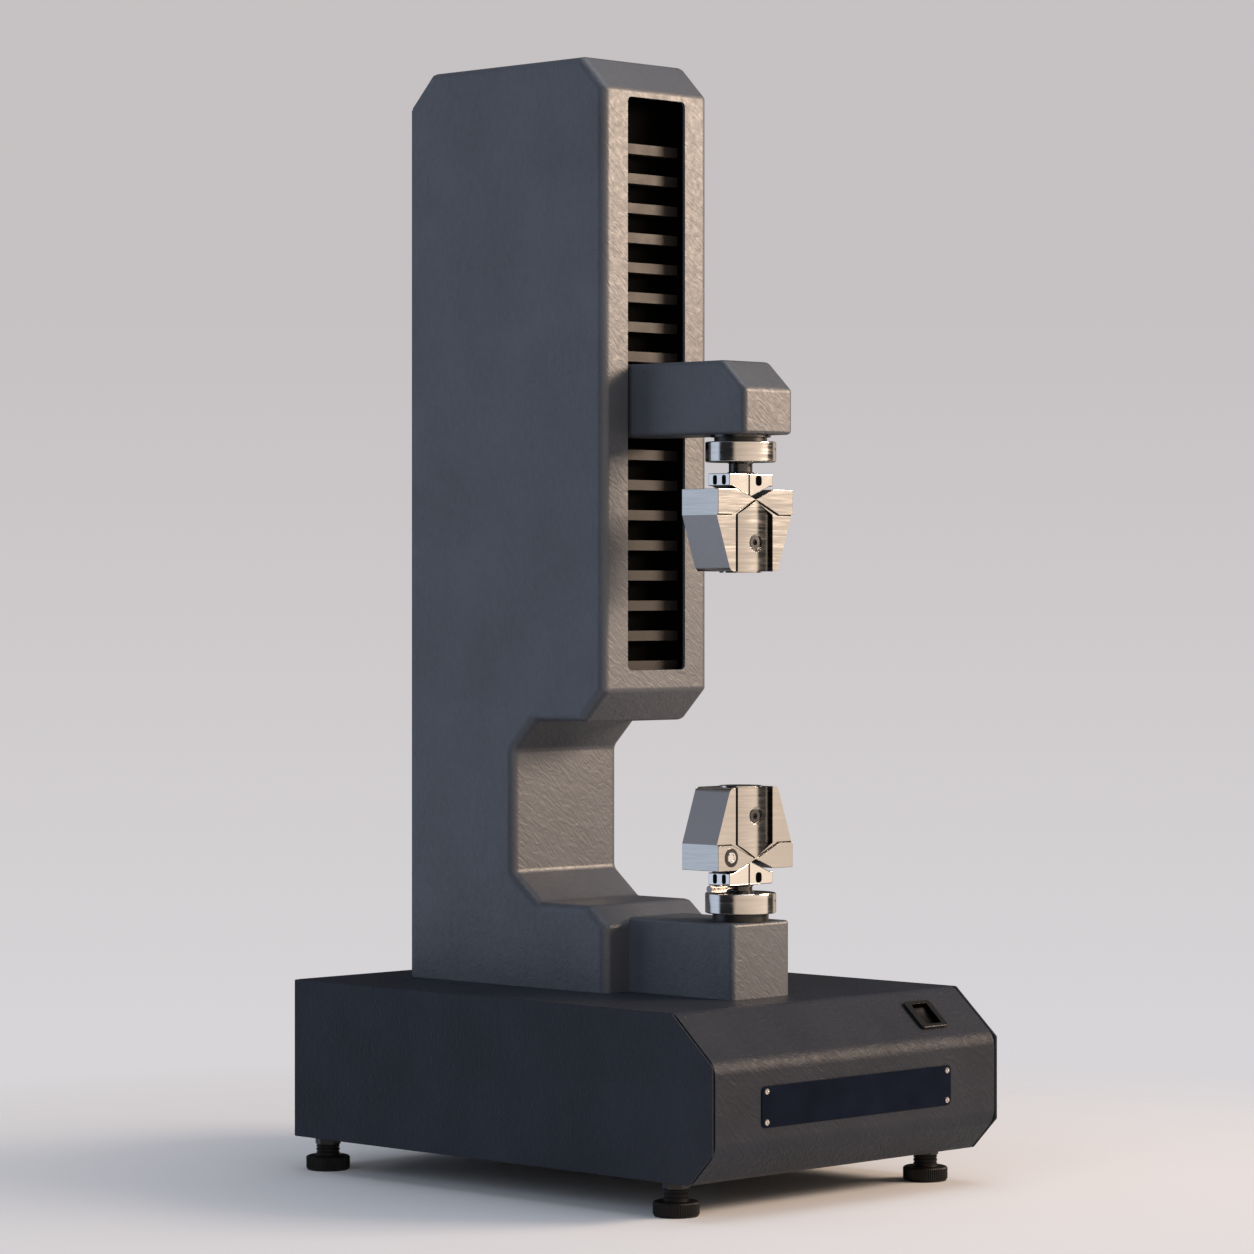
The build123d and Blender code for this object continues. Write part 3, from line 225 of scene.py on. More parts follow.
def joined(*parts):
    """Several shapes in one, each still closed by itself."""
    whole = bmesh.new()
    for part in parts:
        mesh = bpy.data.meshes.new("part")
        part.to_mesh(mesh)
        part.free()
        whole.from_mesh(mesh)
        bpy.data.meshes.remove(mesh)
    return whole


def placed(work, matrix):
    """A shape moved by a matrix."""
    bmesh.ops.transform(work, matrix=matrix, verts=work.verts)
    if matrix.determinant() < 0:
        bmesh.ops.reverse_faces(work, faces=work.faces)
    return work


def flute(work, count, reach, share):
    """Draws in every other point of a turned shape's rim, past a radius, for a fluted or knurled edge."""
    for vert in work.verts:
        step = round(math.atan2(vert.co.y, vert.co.x) / math.pi * count)
        if math.hypot(vert.co.x, vert.co.y) > reach and step % 2:
            vert.co.x *= share
            vert.co.y *= share
    return work


def upright_bore(place, radius, low, high):
    """A round cutter along Z, at a place and between two heights above it."""
    return placed(lathe([(0, low), (radius, low), (radius, high), (0, high)]), Matrix.Translation(place))


# Materials

def material(name, color, roughness, metallic=0.0, specular=0.5):
    """A material and its main shader, with what is even all over set on the shader itself."""
    made = bpy.data.materials.new(name)
    made.use_nodes = True
    shader = made.node_tree.nodes["Principled BSDF"]
    shader.inputs["Base Color"].default_value = (*color, 1)
    shader.inputs["Roughness"].default_value = roughness
    shader.inputs["Metallic"].default_value = metallic
    shader.inputs["Specular IOR Level"].default_value = specular
    return made, shader


def node(tree, kind, **values):
    """A shader node with its settings."""
    made = tree.nodes.new(kind)
    for key, value in values.items():
        setattr(made, key, value)
    return made


def object_noise(tree, scale, detail=3.0, distortion=0.0, stretch=(1, 1, 1), slant=0.0):
    """Noise in the object's own coordinates, in features per metre, turned by a slant and then stretched."""
    place = node(tree, "ShaderNodeTexCoord")
    turn = node(tree, "ShaderNodeMapping")
    turn.inputs["Rotation"].default_value = (0, slant, 0)
    fit = node(tree, "ShaderNodeMapping")
    fit.inputs["Scale"].default_value = stretch
    noise = node(tree, "ShaderNodeTexNoise")
    noise.inputs["Scale"].default_value = scale
    noise.inputs["Detail"].default_value = detail
    noise.inputs["Distortion"].default_value = distortion
    tree.links.new(place.outputs["Object"], turn.inputs["Vector"])
    tree.links.new(turn.outputs["Vector"], fit.inputs["Vector"])
    tree.links.new(fit.outputs["Vector"], noise.inputs["Vector"])
    return noise.outputs["Fac"]


def spread(tree, value, low, high, from_low=0.3, from_high=0.7):
    """A value stretched to a range."""
    fit = node(tree, "ShaderNodeMapRange")
    fit.inputs["From Min"].default_value = from_low
    fit.inputs["From Max"].default_value = from_high
    fit.inputs["To Min"].default_value = low
    fit.inputs["To Max"].default_value = high
    tree.links.new(value, fit.inputs["Value"])
    return fit.outputs["Result"]


def between(tree, value, low_color, high_color):
    """A colour between two, chosen by a value from 0 to 1."""
    mix = node(tree, "ShaderNodeMix", data_type="RGBA")
    mix.inputs["A"].default_value = (*low_color, 1)
    mix.inputs["B"].default_value = (*high_color, 1)
    tree.links.new(value, mix.inputs["Factor"])
    return mix.outputs["Result"]


def bump(tree, shader, height, strength, distance):
    """Relief on the shader's normal, on top of what is there already."""
    step = node(tree, "ShaderNodeBump")
    step.inputs["Strength"].default_value = strength
    step.inputs["Distance"].default_value = distance
    tree.links.new(height, step.inputs["Height"])
    before = shader.inputs["Normal"].links
    if before:
        tree.links.new(before[0].from_socket, step.inputs["Normal"])
    tree.links.new(step.outputs["Normal"], shader.inputs["Normal"])


# The paint's creases: three times as long as wide, and slanting down to the right.
CREASE_STRETCH = (1.0, 1.0, 0.34)
CREASE_SLANT = 0.85


def textured_paint(name, color, roughness, specular, relief):
    """Powder coat with slanting leathery creases, a fine grain and slightly uneven gloss."""
    made, shader = material(name, color, roughness, specular=specular)
    tree = made.node_tree
    broad = spread(tree, object_noise(tree, 14.0, detail=4.0), 0, 1)
    darker = tuple(0.86 * c for c in color)
    lighter = tuple(1.12 * c for c in color)
    tree.links.new(between(tree, broad, darker, lighter), shader.inputs["Base Color"])
    gloss = object_noise(tree, 160.0)
    tree.links.new(spread(tree, gloss, roughness - 0.05, roughness + 0.06), shader.inputs["Roughness"])
    crease = object_noise(tree, 190.0, detail=2.5, distortion=1.2, stretch=CREASE_STRETCH, slant=CREASE_SLANT)
    bump(tree, shader, crease, relief, 0.0014)
    grain = object_noise(tree, 620.0, detail=2.0, distortion=0.4)
    bump(tree, shader, grain, relief * 0.22, 0.0003)
    return made


def brushed_metal(name, color, roughness, stretch, relief=0.05):
    """Metal with fine lines along one direction."""
    made, shader = material(name, color, roughness, metallic=1.0)
    tree = made.node_tree
    lines = object_noise(tree, 500.0, stretch=stretch)
    tree.links.new(spread(tree, lines, roughness - 0.05, roughness + 0.09), shader.inputs["Roughness"])
    darker = tuple(0.88 * c for c in color)
    lighter = tuple(min(1.0, 1.06 * c) for c in color)
    tree.links.new(between(tree, spread(tree, lines, 0, 1), darker, lighter), shader.inputs["Base Color"])
    bump(tree, shader, lines, relief, 0.0002)
    return made


def polished_metal(name, color, roughness):
    """Bright metal with faint smears."""
    made, shader = material(name, color, roughness, metallic=1.0)
    tree = made.node_tree
    smear = object_noise(tree, 60.0, detail=4.0, distortion=0.8)
    tree.links.new(spread(tree, smear, roughness - 0.03, roughness + 0.06), shader.inputs["Roughness"])
    darker = tuple(0.93 * c for c in color)
    tree.links.new(between(tree, spread(tree, smear, 0, 1), darker, color), shader.inputs["Base Color"])
    fine = object_noise(tree, 1400.0, detail=2.0)
    bump(tree, shader, fine, 0.015, 0.0001)
    return made


def plain_finish(name, color, roughness, metallic=0.0, specular=0.5, grain=700.0, relief=0.1):
    """A finish with light grain and slightly uneven colour and gloss."""
    made, shader = material(name, color, roughness, metallic, specular)
    tree = made.node_tree
    uneven = object_noise(tree, 40.0, detail=4.0)
    darker = tuple(0.8 * c for c in color)
    lighter = tuple(min(1.0, 1.15 * c) for c in color)
    tree.links.new(between(tree, spread(tree, uneven, 0, 1), darker, lighter), shader.inputs["Base Color"])
    low = max(0.03, roughness - 0.06)
    tree.links.new(spread(tree, uneven, low, roughness + 0.08), shader.inputs["Roughness"])
    bump(tree, shader, object_noise(tree, grain, detail=2.0), relief, 0.0002)
    return made


# Brushed lines lie level where the noise is stretched along X and Y.
LYING_LINES = (0.05, 0.05, 1.0)

column_paint = textured_paint("column_paint", (0.056, 0.065, 0.084), 0.48, 0.78, 0.36)
base_paint = textured_paint("base_paint", (0.024, 0.028, 0.038), 0.46, 0.11, 0.62)
# Near-black painted shade, for insides, bores, wells and gaps that lie in shade
painted_shade_black = plain_finish("painted_shade_black", (0.0015, 0.0015, 0.0015), 0.8, specular=0.02)
bellows_fabric = plain_finish(
    "bellows_fabric", (0.024, 0.021, 0.020), 0.44, specular=0.26, grain=2200.0, relief=0.25
)
grip_steel = brushed_metal("grip_steel", (0.64, 0.63, 0.62), 0.13, LYING_LINES, 0.025)
satin_steel = brushed_metal("satin_steel", (0.33, 0.31, 0.305), 0.3, LYING_LINES, 0.04)
bright_steel = polished_metal("bright_steel", (0.90, 0.89, 0.88), 0.09)
ring_steel = brushed_metal("ring_steel", (0.76, 0.75, 0.74), 0.12, (0.04, 0.04, 1.0), 0.02)
dark_steel = polished_metal("dark_steel", (0.10, 0.10, 0.105), 0.25)
# Black metal for dark parts, and also black painted shade in the grooves, channels, slots and holes of grips,
# jaws, clevises and rings
black_metal_and_shade = plain_finish("black_metal_and_shade", (0.010, 0.010, 0.011), 0.35)
black_plastic = plain_finish("black_plastic", (0.008, 0.008, 0.009), 0.25, specular=0.25, relief=0.03)
rubber = plain_finish("rubber", (0.007, 0.007, 0.007), 0.5, specular=0.2)
plate_finish = plain_finish("plate_finish", (0.004, 0.007, 0.016), 0.36, specular=0.03, relief=0.02)
zinc_sheet = brushed_metal("zinc_sheet", (0.42, 0.43, 0.45), 0.38, (0.2, 1.0, 1.0))
board_green = plain_finish("board_green", (0.02, 0.11, 0.06), 0.35)
rivet_steel = polished_metal("rivet_steel", (0.62, 0.60, 0.58), 0.2)


# Camera, light and floor

CAMERA_PLACE = (-3.1276, -3.0377, 0.5691)
CAMERA_TURN = -45.65
LENS = 128.86
SHIFT_DOWN = -0.0289


def make_camera():
    """The camera at the photograph's angle, level, with a small shift."""
    data = bpy.data.cameras.new("camera")
    data.lens = LENS
    data.sensor_width = 36.0
    data.shift_y = SHIFT_DOWN
    data.clip_end = 100.0
    camera = bpy.data.objects.new("camera", data)
    camera.location = CAMERA_PLACE
    camera.rotation_euler = (math.radians(90), 0, math.radians(CAMERA_TURN))
    bpy.context.scene.collection.objects.link(camera)
    bpy.context.scene.camera = camera


def area_light(name, place, target, size, power, color):
    """A soft rectangular light that faces a point."""
    data = bpy.data.lights.new(name, "AREA")
    data.shape = "RECTANGLE"
    data.size, data.size_y = size
    data.energy = power
    data.color = color
    light = bpy.data.objects.new(name, data)
    light.location = place
    way = Vector(target) - Vector(place)
    light.rotation_euler = way.to_track_quat("-Z", "Y").to_euler()
    bpy.context.scene.collection.objects.link(light)
    return light


def make_lights():
    """A warm light from the front right, a cool one from the left and a large one overhead."""
    middle = (0, 0, 0.6)
    area_light("warm_key", (2.50, -2.75, 1.75), middle, size=(1.9, 1.0), power=215, color=(1.0, 0.76, 0.57))
    cool_fill = area_light(
        "cool_fill", (-2.7, -0.7, 1.3), middle, size=(1.8, 1.8), power=26, color=(0.74, 0.85, 1.0)
    )
    cool_fill.visible_glossy = False
    area_light("overhead", (0.3, -0.4, 4.2), (0, 0, 0), size=(3.0, 3.0), power=55, color=(0.88, 0.94, 1.0))


BACKDROP_HIGH = (0.565, 0.533, 0.539)
BACKDROP_LOW = (0.685, 0.665, 0.685)
BACKDROP_FADE = (-0.10, 0.06)
CEILING = (0.15, 0.15, 0.165)
CEILING_FADE = (0.35, 0.75)

UNLIT = (0.020, 0.020, 0.022)

# The studio's colours all round, each with its share of a full turn from the left
STUDIO_BANDS = (
    (0.000, UNLIT),
    (0.045, UNLIT),
    (0.075, (0.62, 0.50, 0.40)),
    (0.330, (0.98, 0.79, 0.63)),
    (0.385, (1.05, 0.85, 0.68)),
    (0.402, (0.05, 0.045, 0.04)),
    (0.475, (0.05, 0.045, 0.04)),
    (0.495, (0.62, 0.50, 0.40)),
    (0.560, (0.55, 0.45, 0.36)),
    (0.590, (0.03, 0.03, 0.03)),
    (0.745, (0.03, 0.03, 0.035)),
    (0.775, (0.52, 0.60, 0.73)),
    (0.905, (0.61, 0.69, 0.83)),
    (0.925, UNLIT),
    (1.000, UNLIT),
)


def make_world():
    """A pale backdrop for the camera, and a studio of soft bands all round for reflections."""
    world = bpy.data.worlds.new("studio")
    bpy.context.scene.world = world
    world.use_nodes = True
    tree = world.node_tree
    way = node(tree, "ShaderNodeTexCoord")
    split = node(tree, "ShaderNodeSeparateXYZ")
    tree.links.new(way.outputs["Generated"], split.inputs["Vector"])
    seen = node(tree, "ShaderNodeLightPath")
    final = node(tree, "ShaderNodeMix", data_type="RGBA")
    tree.links.new(seen.outputs["Is Camera Ray"], final.inputs["Factor"])
    tree.links.new(studio_color(tree, split), final.inputs["A"])
    height = spread(tree, split.outputs["Z"], 0, 1, *BACKDROP_FADE)
    tree.links.new(between(tree, height, BACKDROP_LOW, BACKDROP_HIGH), final.inputs["B"])
    tree.links.new(final.outputs["Result"], tree.nodes["Background"].inputs["Color"])


def studio_color(tree, split):
    """The bands by their place all round, fading into an even ceiling."""
    turn = node(tree, "ShaderNodeMath", operation="ARCTAN2")
    tree.links.new(split.outputs["Y"], turn.inputs[0])
    tree.links.new(split.outputs["X"], turn.inputs[1])
    around = spread(tree, turn.outputs["Value"], 0, 1, -math.pi, math.pi)
    bands = node(tree, "ShaderNodeValToRGB")
    ramp = bands.color_ramp
    ramp.elements[0].position, ramp.elements[0].color = STUDIO_BANDS[0][0], (*STUDIO_BANDS[0][1], 1)
    ramp.elements[1].position, ramp.elements[1].color = STUDIO_BANDS[-1][0], (*STUDIO_BANDS[-1][1], 1)
    for place, color in STUDIO_BANDS[1:-1]:
        ramp.elements.new(place).color = (*color, 1)
    tree.links.new(around, bands.inputs["Fac"])
    up = spread(tree, split.outputs["Z"], 0, 1, *CEILING_FADE)
    studio = node(tree, "ShaderNodeMix", data_type="RGBA")
    studio.inputs["B"].default_value = (*CEILING, 1)
    tree.links.new(up, studio.inputs["Factor"])
    tree.links.new(bands.outputs["Color"], studio.inputs["A"])
    return studio.outputs["Result"]


FLOOR_RADIUS = 8.0
FADE_START = 0.25
FADE_END = 1.15


def make_floor():
    """A pale round floor that fades into the backdrop."""
    work = bmesh.new()
    bmesh.ops.create_circle(work, cap_ends=True, segments=96, radius=FLOOR_RADIUS)
    made, shader = material("floor", (0.72, 0.74, 0.78), 0.7, specular=0.2)
    tree = made.node_tree
    place = node(tree, "ShaderNodeTexCoord")
    reach = node(tree, "ShaderNodeVectorMath", operation="LENGTH")
    tree.links.new(place.outputs["Object"], reach.inputs[0])
    fade = spread(tree, reach.outputs["Value"], 0, 1, FADE_START, FADE_END)
    clear = node(tree, "ShaderNodeBsdfTransparent")
    mix = node(tree, "ShaderNodeMixShader")
    output = tree.nodes["Material Output"]
    tree.links.new(fade, mix.inputs["Fac"])
    tree.links.new(shader.outputs["BSDF"], mix.inputs[1])
    tree.links.new(clear.outputs["BSDF"], mix.inputs[2])
    tree.links.new(mix.outputs["Shader"], output.inputs["Surface"])
    floor = new_piece("floor", work, made)


make_camera()
make_lights()
make_world()
make_floor()
bpy.context.scene.view_settings.view_transform = "Standard"


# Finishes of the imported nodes

NODE_FINISHES = (
    (column_paint, "column_shell crosshead_arm lower_block column_rear_cover"),
    (base_paint, "base_cover left_side_panel right_side_panel rear_panel"),
    (plate_finish, "name_plate"),
    (rivet_steel, "plate_rivets"),
    (black_plastic, "switch_bezel switch_rocker power_inlet limit_switches"),
    (board_green, "control_board"),
    (rubber, "drive_belt front_left_foot front_right_foot rear_left_foot rear_right_foot"),
    # The bellows frame behind the slot gets the near-black painted shade
    (painted_shade_black, "bellows_frame"),
    (bellows_fabric, "upper_bellows lower_bellows"),
    (grip_steel, "lower_thumb_screw lower_grip_body upper_grip_body"),
    (ring_steel, "lower_lock_ring upper_lock_ring"),
    (black_metal_and_shade, "base_tray motor_body carriage_plate load_cell base_disc"),
    (dark_steel, "cover_screws rail_carriages bearing_blocks load_cell_flange"),
    (dark_steel, "lower_clamp_screw upper_clamp_screw"),
    (zinc_sheet, "power_supply motor_bracket column_spine nut_housing block_post deck_plate deck_posts"),
    (bright_steel, "data_port motor_rotor guide_rails ball_nut ball_screw lower_adapter upper_adapter"),
    (bright_steel, "lower_grip_pins upper_grip_pin lower_front_jaw upper_front_jaw"),
    (bright_steel, "lower_rear_jaw upper_rear_jaw"),
)
for finish, node_names in NODE_FINISHES:
    for node_name in node_names.split():
        nodes[node_name].data.materials.clear()
        nodes[node_name].data.materials.append(finish)


# Own meshes for the visible pieces

def apply_now(piece):
    """Applies the piece's modifiers, and shades it smooth between its sharp edges."""
    apply_modifiers(piece)
    return smooth_faces(piece)


def carry(piece, body, slot, *stands_for):
    """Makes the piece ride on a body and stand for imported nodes."""
    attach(piece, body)
    if stands_for:
        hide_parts(*stands_for)


# Column. Its side view is drawn in Y and Z.

# Points closer than this lie on the same face
TOUCH = 1e-5

# How far a wall's inner corner moves along at a bend of 45 degrees, as a share of the wall
SLANT_SHARE = 0.41

COLUMN_LEFT, COLUMN_RIGHT = -0.0985, 0.0465
COLUMN_MIDDLE = (COLUMN_LEFT + COLUMN_RIGHT) / 2
COLUMN_FRONT, COLUMN_BACK = -0.0455, 0.2255
COLUMN_TOP = 1.079
COLUMN_WALL = 0.003
BASE_TOP = 0.187
HEAD_BOTTOM = 0.4435
RECESS_BACK = 0.0775
PEDESTAL_TOP = 0.2695
PEDESTAL_FRONT = -0.0475
EDGE_ROUNDING = 0.009
CREASE_SHARE = 0.36
SLOT_LOW, SLOT_HIGH = 0.493, 1.041
SLOT_WIDTH = 0.079
SLOT_CORNER = 0.005
SLOT_RIM = 0.0016


def column_outline(inset):
    """The side view of the column, moved inwards by the inset."""
    head_corner, top_corner, throat = 0.030, 0.031, 0.0285
    nose_drop, nose_run = 0.0185, 0.023
    foot_run, foot_rise = 0.0335, 0.027
    slant = inset * SLANT_SHARE
    front = COLUMN_FRONT + inset
    back = COLUMN_BACK - inset
    top = COLUMN_TOP - inset
    head = HEAD_BOTTOM + inset
    recess = RECESS_BACK + inset
    pedestal = PEDESTAL_TOP - inset
    pedestal_front = PEDESTAL_FRONT + inset
    return [
        (back, BASE_TOP), (pedestal_front, BASE_TOP),
        (pedestal_front, PEDESTAL_TOP - nose_drop - slant),
        (PEDESTAL_FRONT + nose_run + slant, pedestal),
        (RECESS_BACK - foot_run + slant, pedestal),
        (recess, PEDESTAL_TOP + foot_rise - slant),
        (recess, HEAD_BOTTOM - throat + slant),
        (RECESS_BACK - throat + slant, head),
        (COLUMN_FRONT + head_corner + slant, head),
        (front, HEAD_BOTTOM + head_corner + slant),
        (front, COLUMN_TOP - top_corner - slant),
        (COLUMN_FRONT + top_corner + slant, top),
        (COLUMN_BACK - top_corner - slant, top),
        (back, COLUMN_TOP - top_corner - slant),
    ]


def runs_along(a, b, axis):
    """Whether an edge between two points runs along an axis."""
    return abs(a[axis] - b[axis]) > 0.01


def column_edge_weight(a, b):
    """Full rounding along the sides' outline, less on the creases between flat faces."""
    if max(a.z, b.z) < BASE_TOP + TOUCH:
        return 0.0
    return CREASE_SHARE if runs_along(a, b, 0) else 1.0


def make_column():
    """The folded housing: broad rounded outline edges, tighter creases, and the slot."""
    whole = prism(column_outline(0), 0, COLUMN_LEFT, COLUMN_RIGHT)
    housing = new_piece("column_housing", whole, column_paint)
    weigh_edges(housing, column_edge_weight)
    bevel(housing, EDGE_ROUNDING, segments=5, weights=True)
    apply_modifiers(housing)
    inner = column_outline(COLUMN_WALL)
    inner[0] = (COLUMN_BACK + PAST, BASE_TOP - PAST)
    inner[1] = (inner[1][0], BASE_TOP - PAST)
    inner[-1] = (COLUMN_BACK + PAST, inner[-1][1])
    # The housing's inside gets the near-black painted shade
    cut(housing, prism(inner, 0, COLUMN_LEFT + COLUMN_WALL, COLUMN_RIGHT - COLUMN_WALL), painted_shade_black)
    opening = rounded_rectangle(
        (COLUMN_MIDDLE, (SLOT_LOW + SLOT_HIGH) / 2), SLOT_WIDTH, SLOT_HIGH - SLOT_LOW, SLOT_CORNER
    )
    cut(housing, prism(opening, 1, COLUMN_FRONT - PAST, COLUMN_FRONT + PAST), column_paint)
    bevel(housing, SLOT_RIM, angle=60)
    apply_now(housing)
    carry(housing, "machine_frame", "dark_textured_paint", "column_shell")


# Arm and lower block

ARM_LEFT, ARM_RIGHT = -0.05975, 0.00775
ARM_LOW, ARM_HIGH = 0.716, 0.7855
ARM_FRONT = -0.192
ARM_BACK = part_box("crosshead_arm")[1][1]
BLOCK_LEFT, BLOCK_RIGHT = -0.066, 0.014
BLOCK_FRONT = -0.1825
BLOCK_TOP = 0.258
SOLID_WALL = 0.007
SOLID_ROUNDING = 0.0055
FRONT_CREASE_SHARE = 0.6
CELL_BORE, CELL_BORE_DEPTH = 0.0253, 0.034
STEM_BORE = 0.0101
GRIP_AXIS = (-0.026, -0.1555)


def make_arm():
    """The arm, with a sloped nose that is solid inside, and soft edges."""
    slope_drop, slope_run, solid_nose = 0.027, 0.029, 0.072
    outline = [
        (ARM_BACK, ARM_LOW), (ARM_FRONT, ARM_LOW), (ARM_FRONT, ARM_HIGH - slope_drop),
        (ARM_FRONT + slope_run, ARM_HIGH), (ARM_BACK, ARM_HIGH),
    ]
    arm = new_piece("arm_housing", prism(outline, 0, ARM_LEFT, ARM_RIGHT), column_paint)
    weigh_edges(arm, arm_edge_weight)
    bevel(arm, SOLID_ROUNDING, segments=4, weights=True)
    apply_modifiers(arm)
    inside = box_mesh((ARM_LEFT + SOLID_WALL, ARM_FRONT + solid_nose, ARM_LOW + SOLID_WALL),
                      (ARM_RIGHT - SOLID_WALL, ARM_BACK + PAST, ARM_HIGH - SOLID_WALL))
    # The arm's inside and the load cell's bore get the near-black painted shade
    cut(arm, inside, painted_shade_black)
    cut(arm, upright_bore((*GRIP_AXIS, ARM_LOW), CELL_BORE, -PAST, CELL_BORE_DEPTH), painted_shade_black)
    apply_now(arm)
    carry(arm, "crosshead", "dark_textured_paint", "crosshead_arm")


def arm_edge_weight(a, b):
    """Full rounding on the side outline, less on the creases, none at the hidden back."""
    if min(a.y, b.y) > ARM_BACK - TOUCH:
        return 0.0
    return FRONT_CREASE_SHARE if runs_along(a, b, 0) else 1.0


def make_block():
    """The block under the lower grip: a tall front with soft edges."""
    whole = box_mesh((BLOCK_LEFT, BLOCK_FRONT, BASE_TOP), (BLOCK_RIGHT, PEDESTAL_FRONT, BLOCK_TOP))
    block = new_piece("block_housing", whole, column_paint)
    weigh_edges(block, block_edge_weight)
    bevel(block, SOLID_ROUNDING, segments=4, weights=True)
    apply_modifiers(block)
    inside = box_mesh((BLOCK_LEFT + SOLID_WALL, BLOCK_FRONT + SOLID_WALL, BASE_TOP - PAST),
                      (BLOCK_RIGHT - SOLID_WALL, PEDESTAL_FRONT - SOLID_WALL, BLOCK_TOP - SOLID_WALL))
    # The block's inside and the stem's bore get the near-black painted shade
    cut(block, inside, painted_shade_black)
    cut(block, upright_bore((*GRIP_AXIS, BLOCK_TOP), STEM_BORE, -2 * PAST, PAST), painted_shade_black)
    apply_now(block)
    carry(block, "machine_frame", "dark_textured_paint", "lower_block")


def block_edge_weight(a, b):
    """Rounding on the block's upper and front edges."""
    if max(a.z, b.z) < BASE_TOP + TOUCH or min(a.y, b.y) > PEDESTAL_FRONT - TOUCH:
        return 0.0
    return 1.0 if runs_along(a, b, 2) else FRONT_CREASE_SHARE


# Base

BASE_HALF = 0.200
PANEL_WALL = 0.003
SEAM = 0.0016
BASE_FRONT, BASE_BACK = -0.282, 0.282
BASE_LOW = 0.033
COVER_WALL = 0.0025
BEND_ROUNDING = 0.009
CREASE_ROUNDING = 0.0045
SLOPE_LENGTH, SLOPE_LOW = 0.051, 0.142
CHIN_LENGTH, CHIN_TOP = 0.029, 0.063
WELL_HALF_WIDTH, WELL_HALF_HEIGHT = 0.0135, 0.0155
POST_BORE = 0.0153


def base_outline(inset=0.0):
    """The side view of the base, moved inwards by the inset."""
    slant = inset * 0.4
    return [
        (BASE_BACK, BASE_LOW), (BASE_FRONT + CHIN_LENGTH + slant, BASE_LOW + inset),
        (BASE_FRONT + inset, CHIN_TOP + slant), (BASE_FRONT + inset, SLOPE_LOW - slant),
        (BASE_FRONT + SLOPE_LENGTH + inset * 0.5, BASE_TOP - inset), (BASE_BACK, BASE_TOP - inset),
    ]


def cover_edge_weight(a, b):
    """Broad bends at the front face, tighter ones at the top and bottom creases."""
    if not runs_along(a, b, 0):
        return 0.0
    y = (a.y + b.y) / 2
    if y > BASE_BACK - TOUCH:
        return 0.0
    if y < BASE_FRONT + TOUCH:
        return 1.0
    return CREASE_ROUNDING / BEND_ROUNDING


def make_base_cover():
    """The bent sheet over the front and top, with a fine seam beside each side panel."""
    half = BASE_HALF - PANEL_WALL - SEAM
    sheet = new_piece("base_sheet", prism(base_outline(), 0, -half, half), base_paint)
    weigh_edges(sheet, cover_edge_weight)
    bevel(sheet, BEND_ROUNDING, segments=5, weights=True)
    apply_modifiers(sheet)
    inner = base_outline(COVER_WALL)
    inner[0] = (inner[1][0], BASE_LOW - PAST)
    inner.insert(0, (BASE_BACK + PAST, BASE_LOW - PAST))
    inner[-1] = (BASE_BACK + PAST, inner[-1][1])
    # The sheet's inside, the switch well, the post bore and the spine's passage get the near-black painted
    # shade
    cut(sheet, prism(inner, 0, -half - PAST, half + PAST), painted_shade_black)
    well = box_mesh((-WELL_HALF_WIDTH, -WELL_HALF_HEIGHT, -PAST), (WELL_HALF_WIDTH, WELL_HALF_HEIGHT, PAST))
    cut(sheet, placed(well, SWITCH_PLACE), painted_shade_black)
    cut(sheet, upright_bore((*GRIP_AXIS, BASE_TOP), POST_BORE, -PAST, PAST), painted_shade_black)
    spine_low, spine_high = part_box("column_spine")
    room_x, room_y = 0.008, 0.006
    passage = box_mesh((spine_low[0] - room_x, spine_low[1] - room_y, BASE_TOP - PAST),
                       (spine_high[0] + room_x, spine_high[1] + room_y, BASE_TOP + PAST))
    cut(sheet, passage, painted_shade_black)
    bevel(sheet, 0.0007, segments=2, angle=60)
    apply_now(sheet)
    carry(sheet, "machine_frame", "dark_textured_paint", "base_cover")


def make_side_panel(side, name):
    """A flat plate that closes one side of the base, with a fine rounded edge."""
    low, high = sorted((side * BASE_HALF, side * (BASE_HALF - PANEL_WALL)))
    panel = new_piece(name + "_plate", prism(base_outline(), 0, low, high), base_paint)
    bevel(panel, 0.0014, angle=40)
    apply_now(panel)
    carry(panel, "machine_frame", "dark_textured_paint", name)


# Switch, on the upper slope

SLOPE_ANGLE = math.atan2(BASE_TOP - SLOPE_LOW, SLOPE_LENGTH)
SWITCH_X = 0.1225
SWITCH_DOWN = 0.0335
SWITCH_PLACE = (
    Matrix.Translation((SWITCH_X, BASE_FRONT + SLOPE_LENGTH - SWITCH_DOWN * math.cos(SLOPE_ANGLE),
                        BASE_TOP - SWITCH_DOWN * math.sin(SLOPE_ANGLE)))
    @ Matrix.Rotation(SLOPE_ANGLE, 4, "X")
)


def make_switch_bezel():
    """The raised frame round the switch, with a deep well whose inside is near-black painted shade."""
    width, height, depth, wall = 0.022, 0.026, 0.014, 0.002
    outline = rounded_rectangle((0, 0), 0.0375, 0.0345, 0.0035)
    bezel = new_piece("switch_frame", prism(outline, 2, 0, 0.0035), black_plastic)
    bevel(bezel, 0.0011, angle=60)
    apply_modifiers(bezel)
    half_x, half_y = width / 2 + wall, height / 2 + wall
    # The well's walls and floor get the near-black painted shade
    add(bezel, box_mesh((-half_x, -half_y, -depth - wall), (half_x, half_y, wall / 2)), painted_shade_black)
    window = rounded_rectangle((0, 0), width, height, 0.0012)
    cut(bezel, prism(window, 2, -depth, PAST), painted_shade_black)
    bevel(bezel, 0.0006, segments=2, angle=60)
    apply_modifiers(bezel)
    bezel.data.transform(SWITCH_PLACE)
    smooth_faces(bezel)
    carry(bezel, "machine_frame", "black_plastic", "switch_bezel")


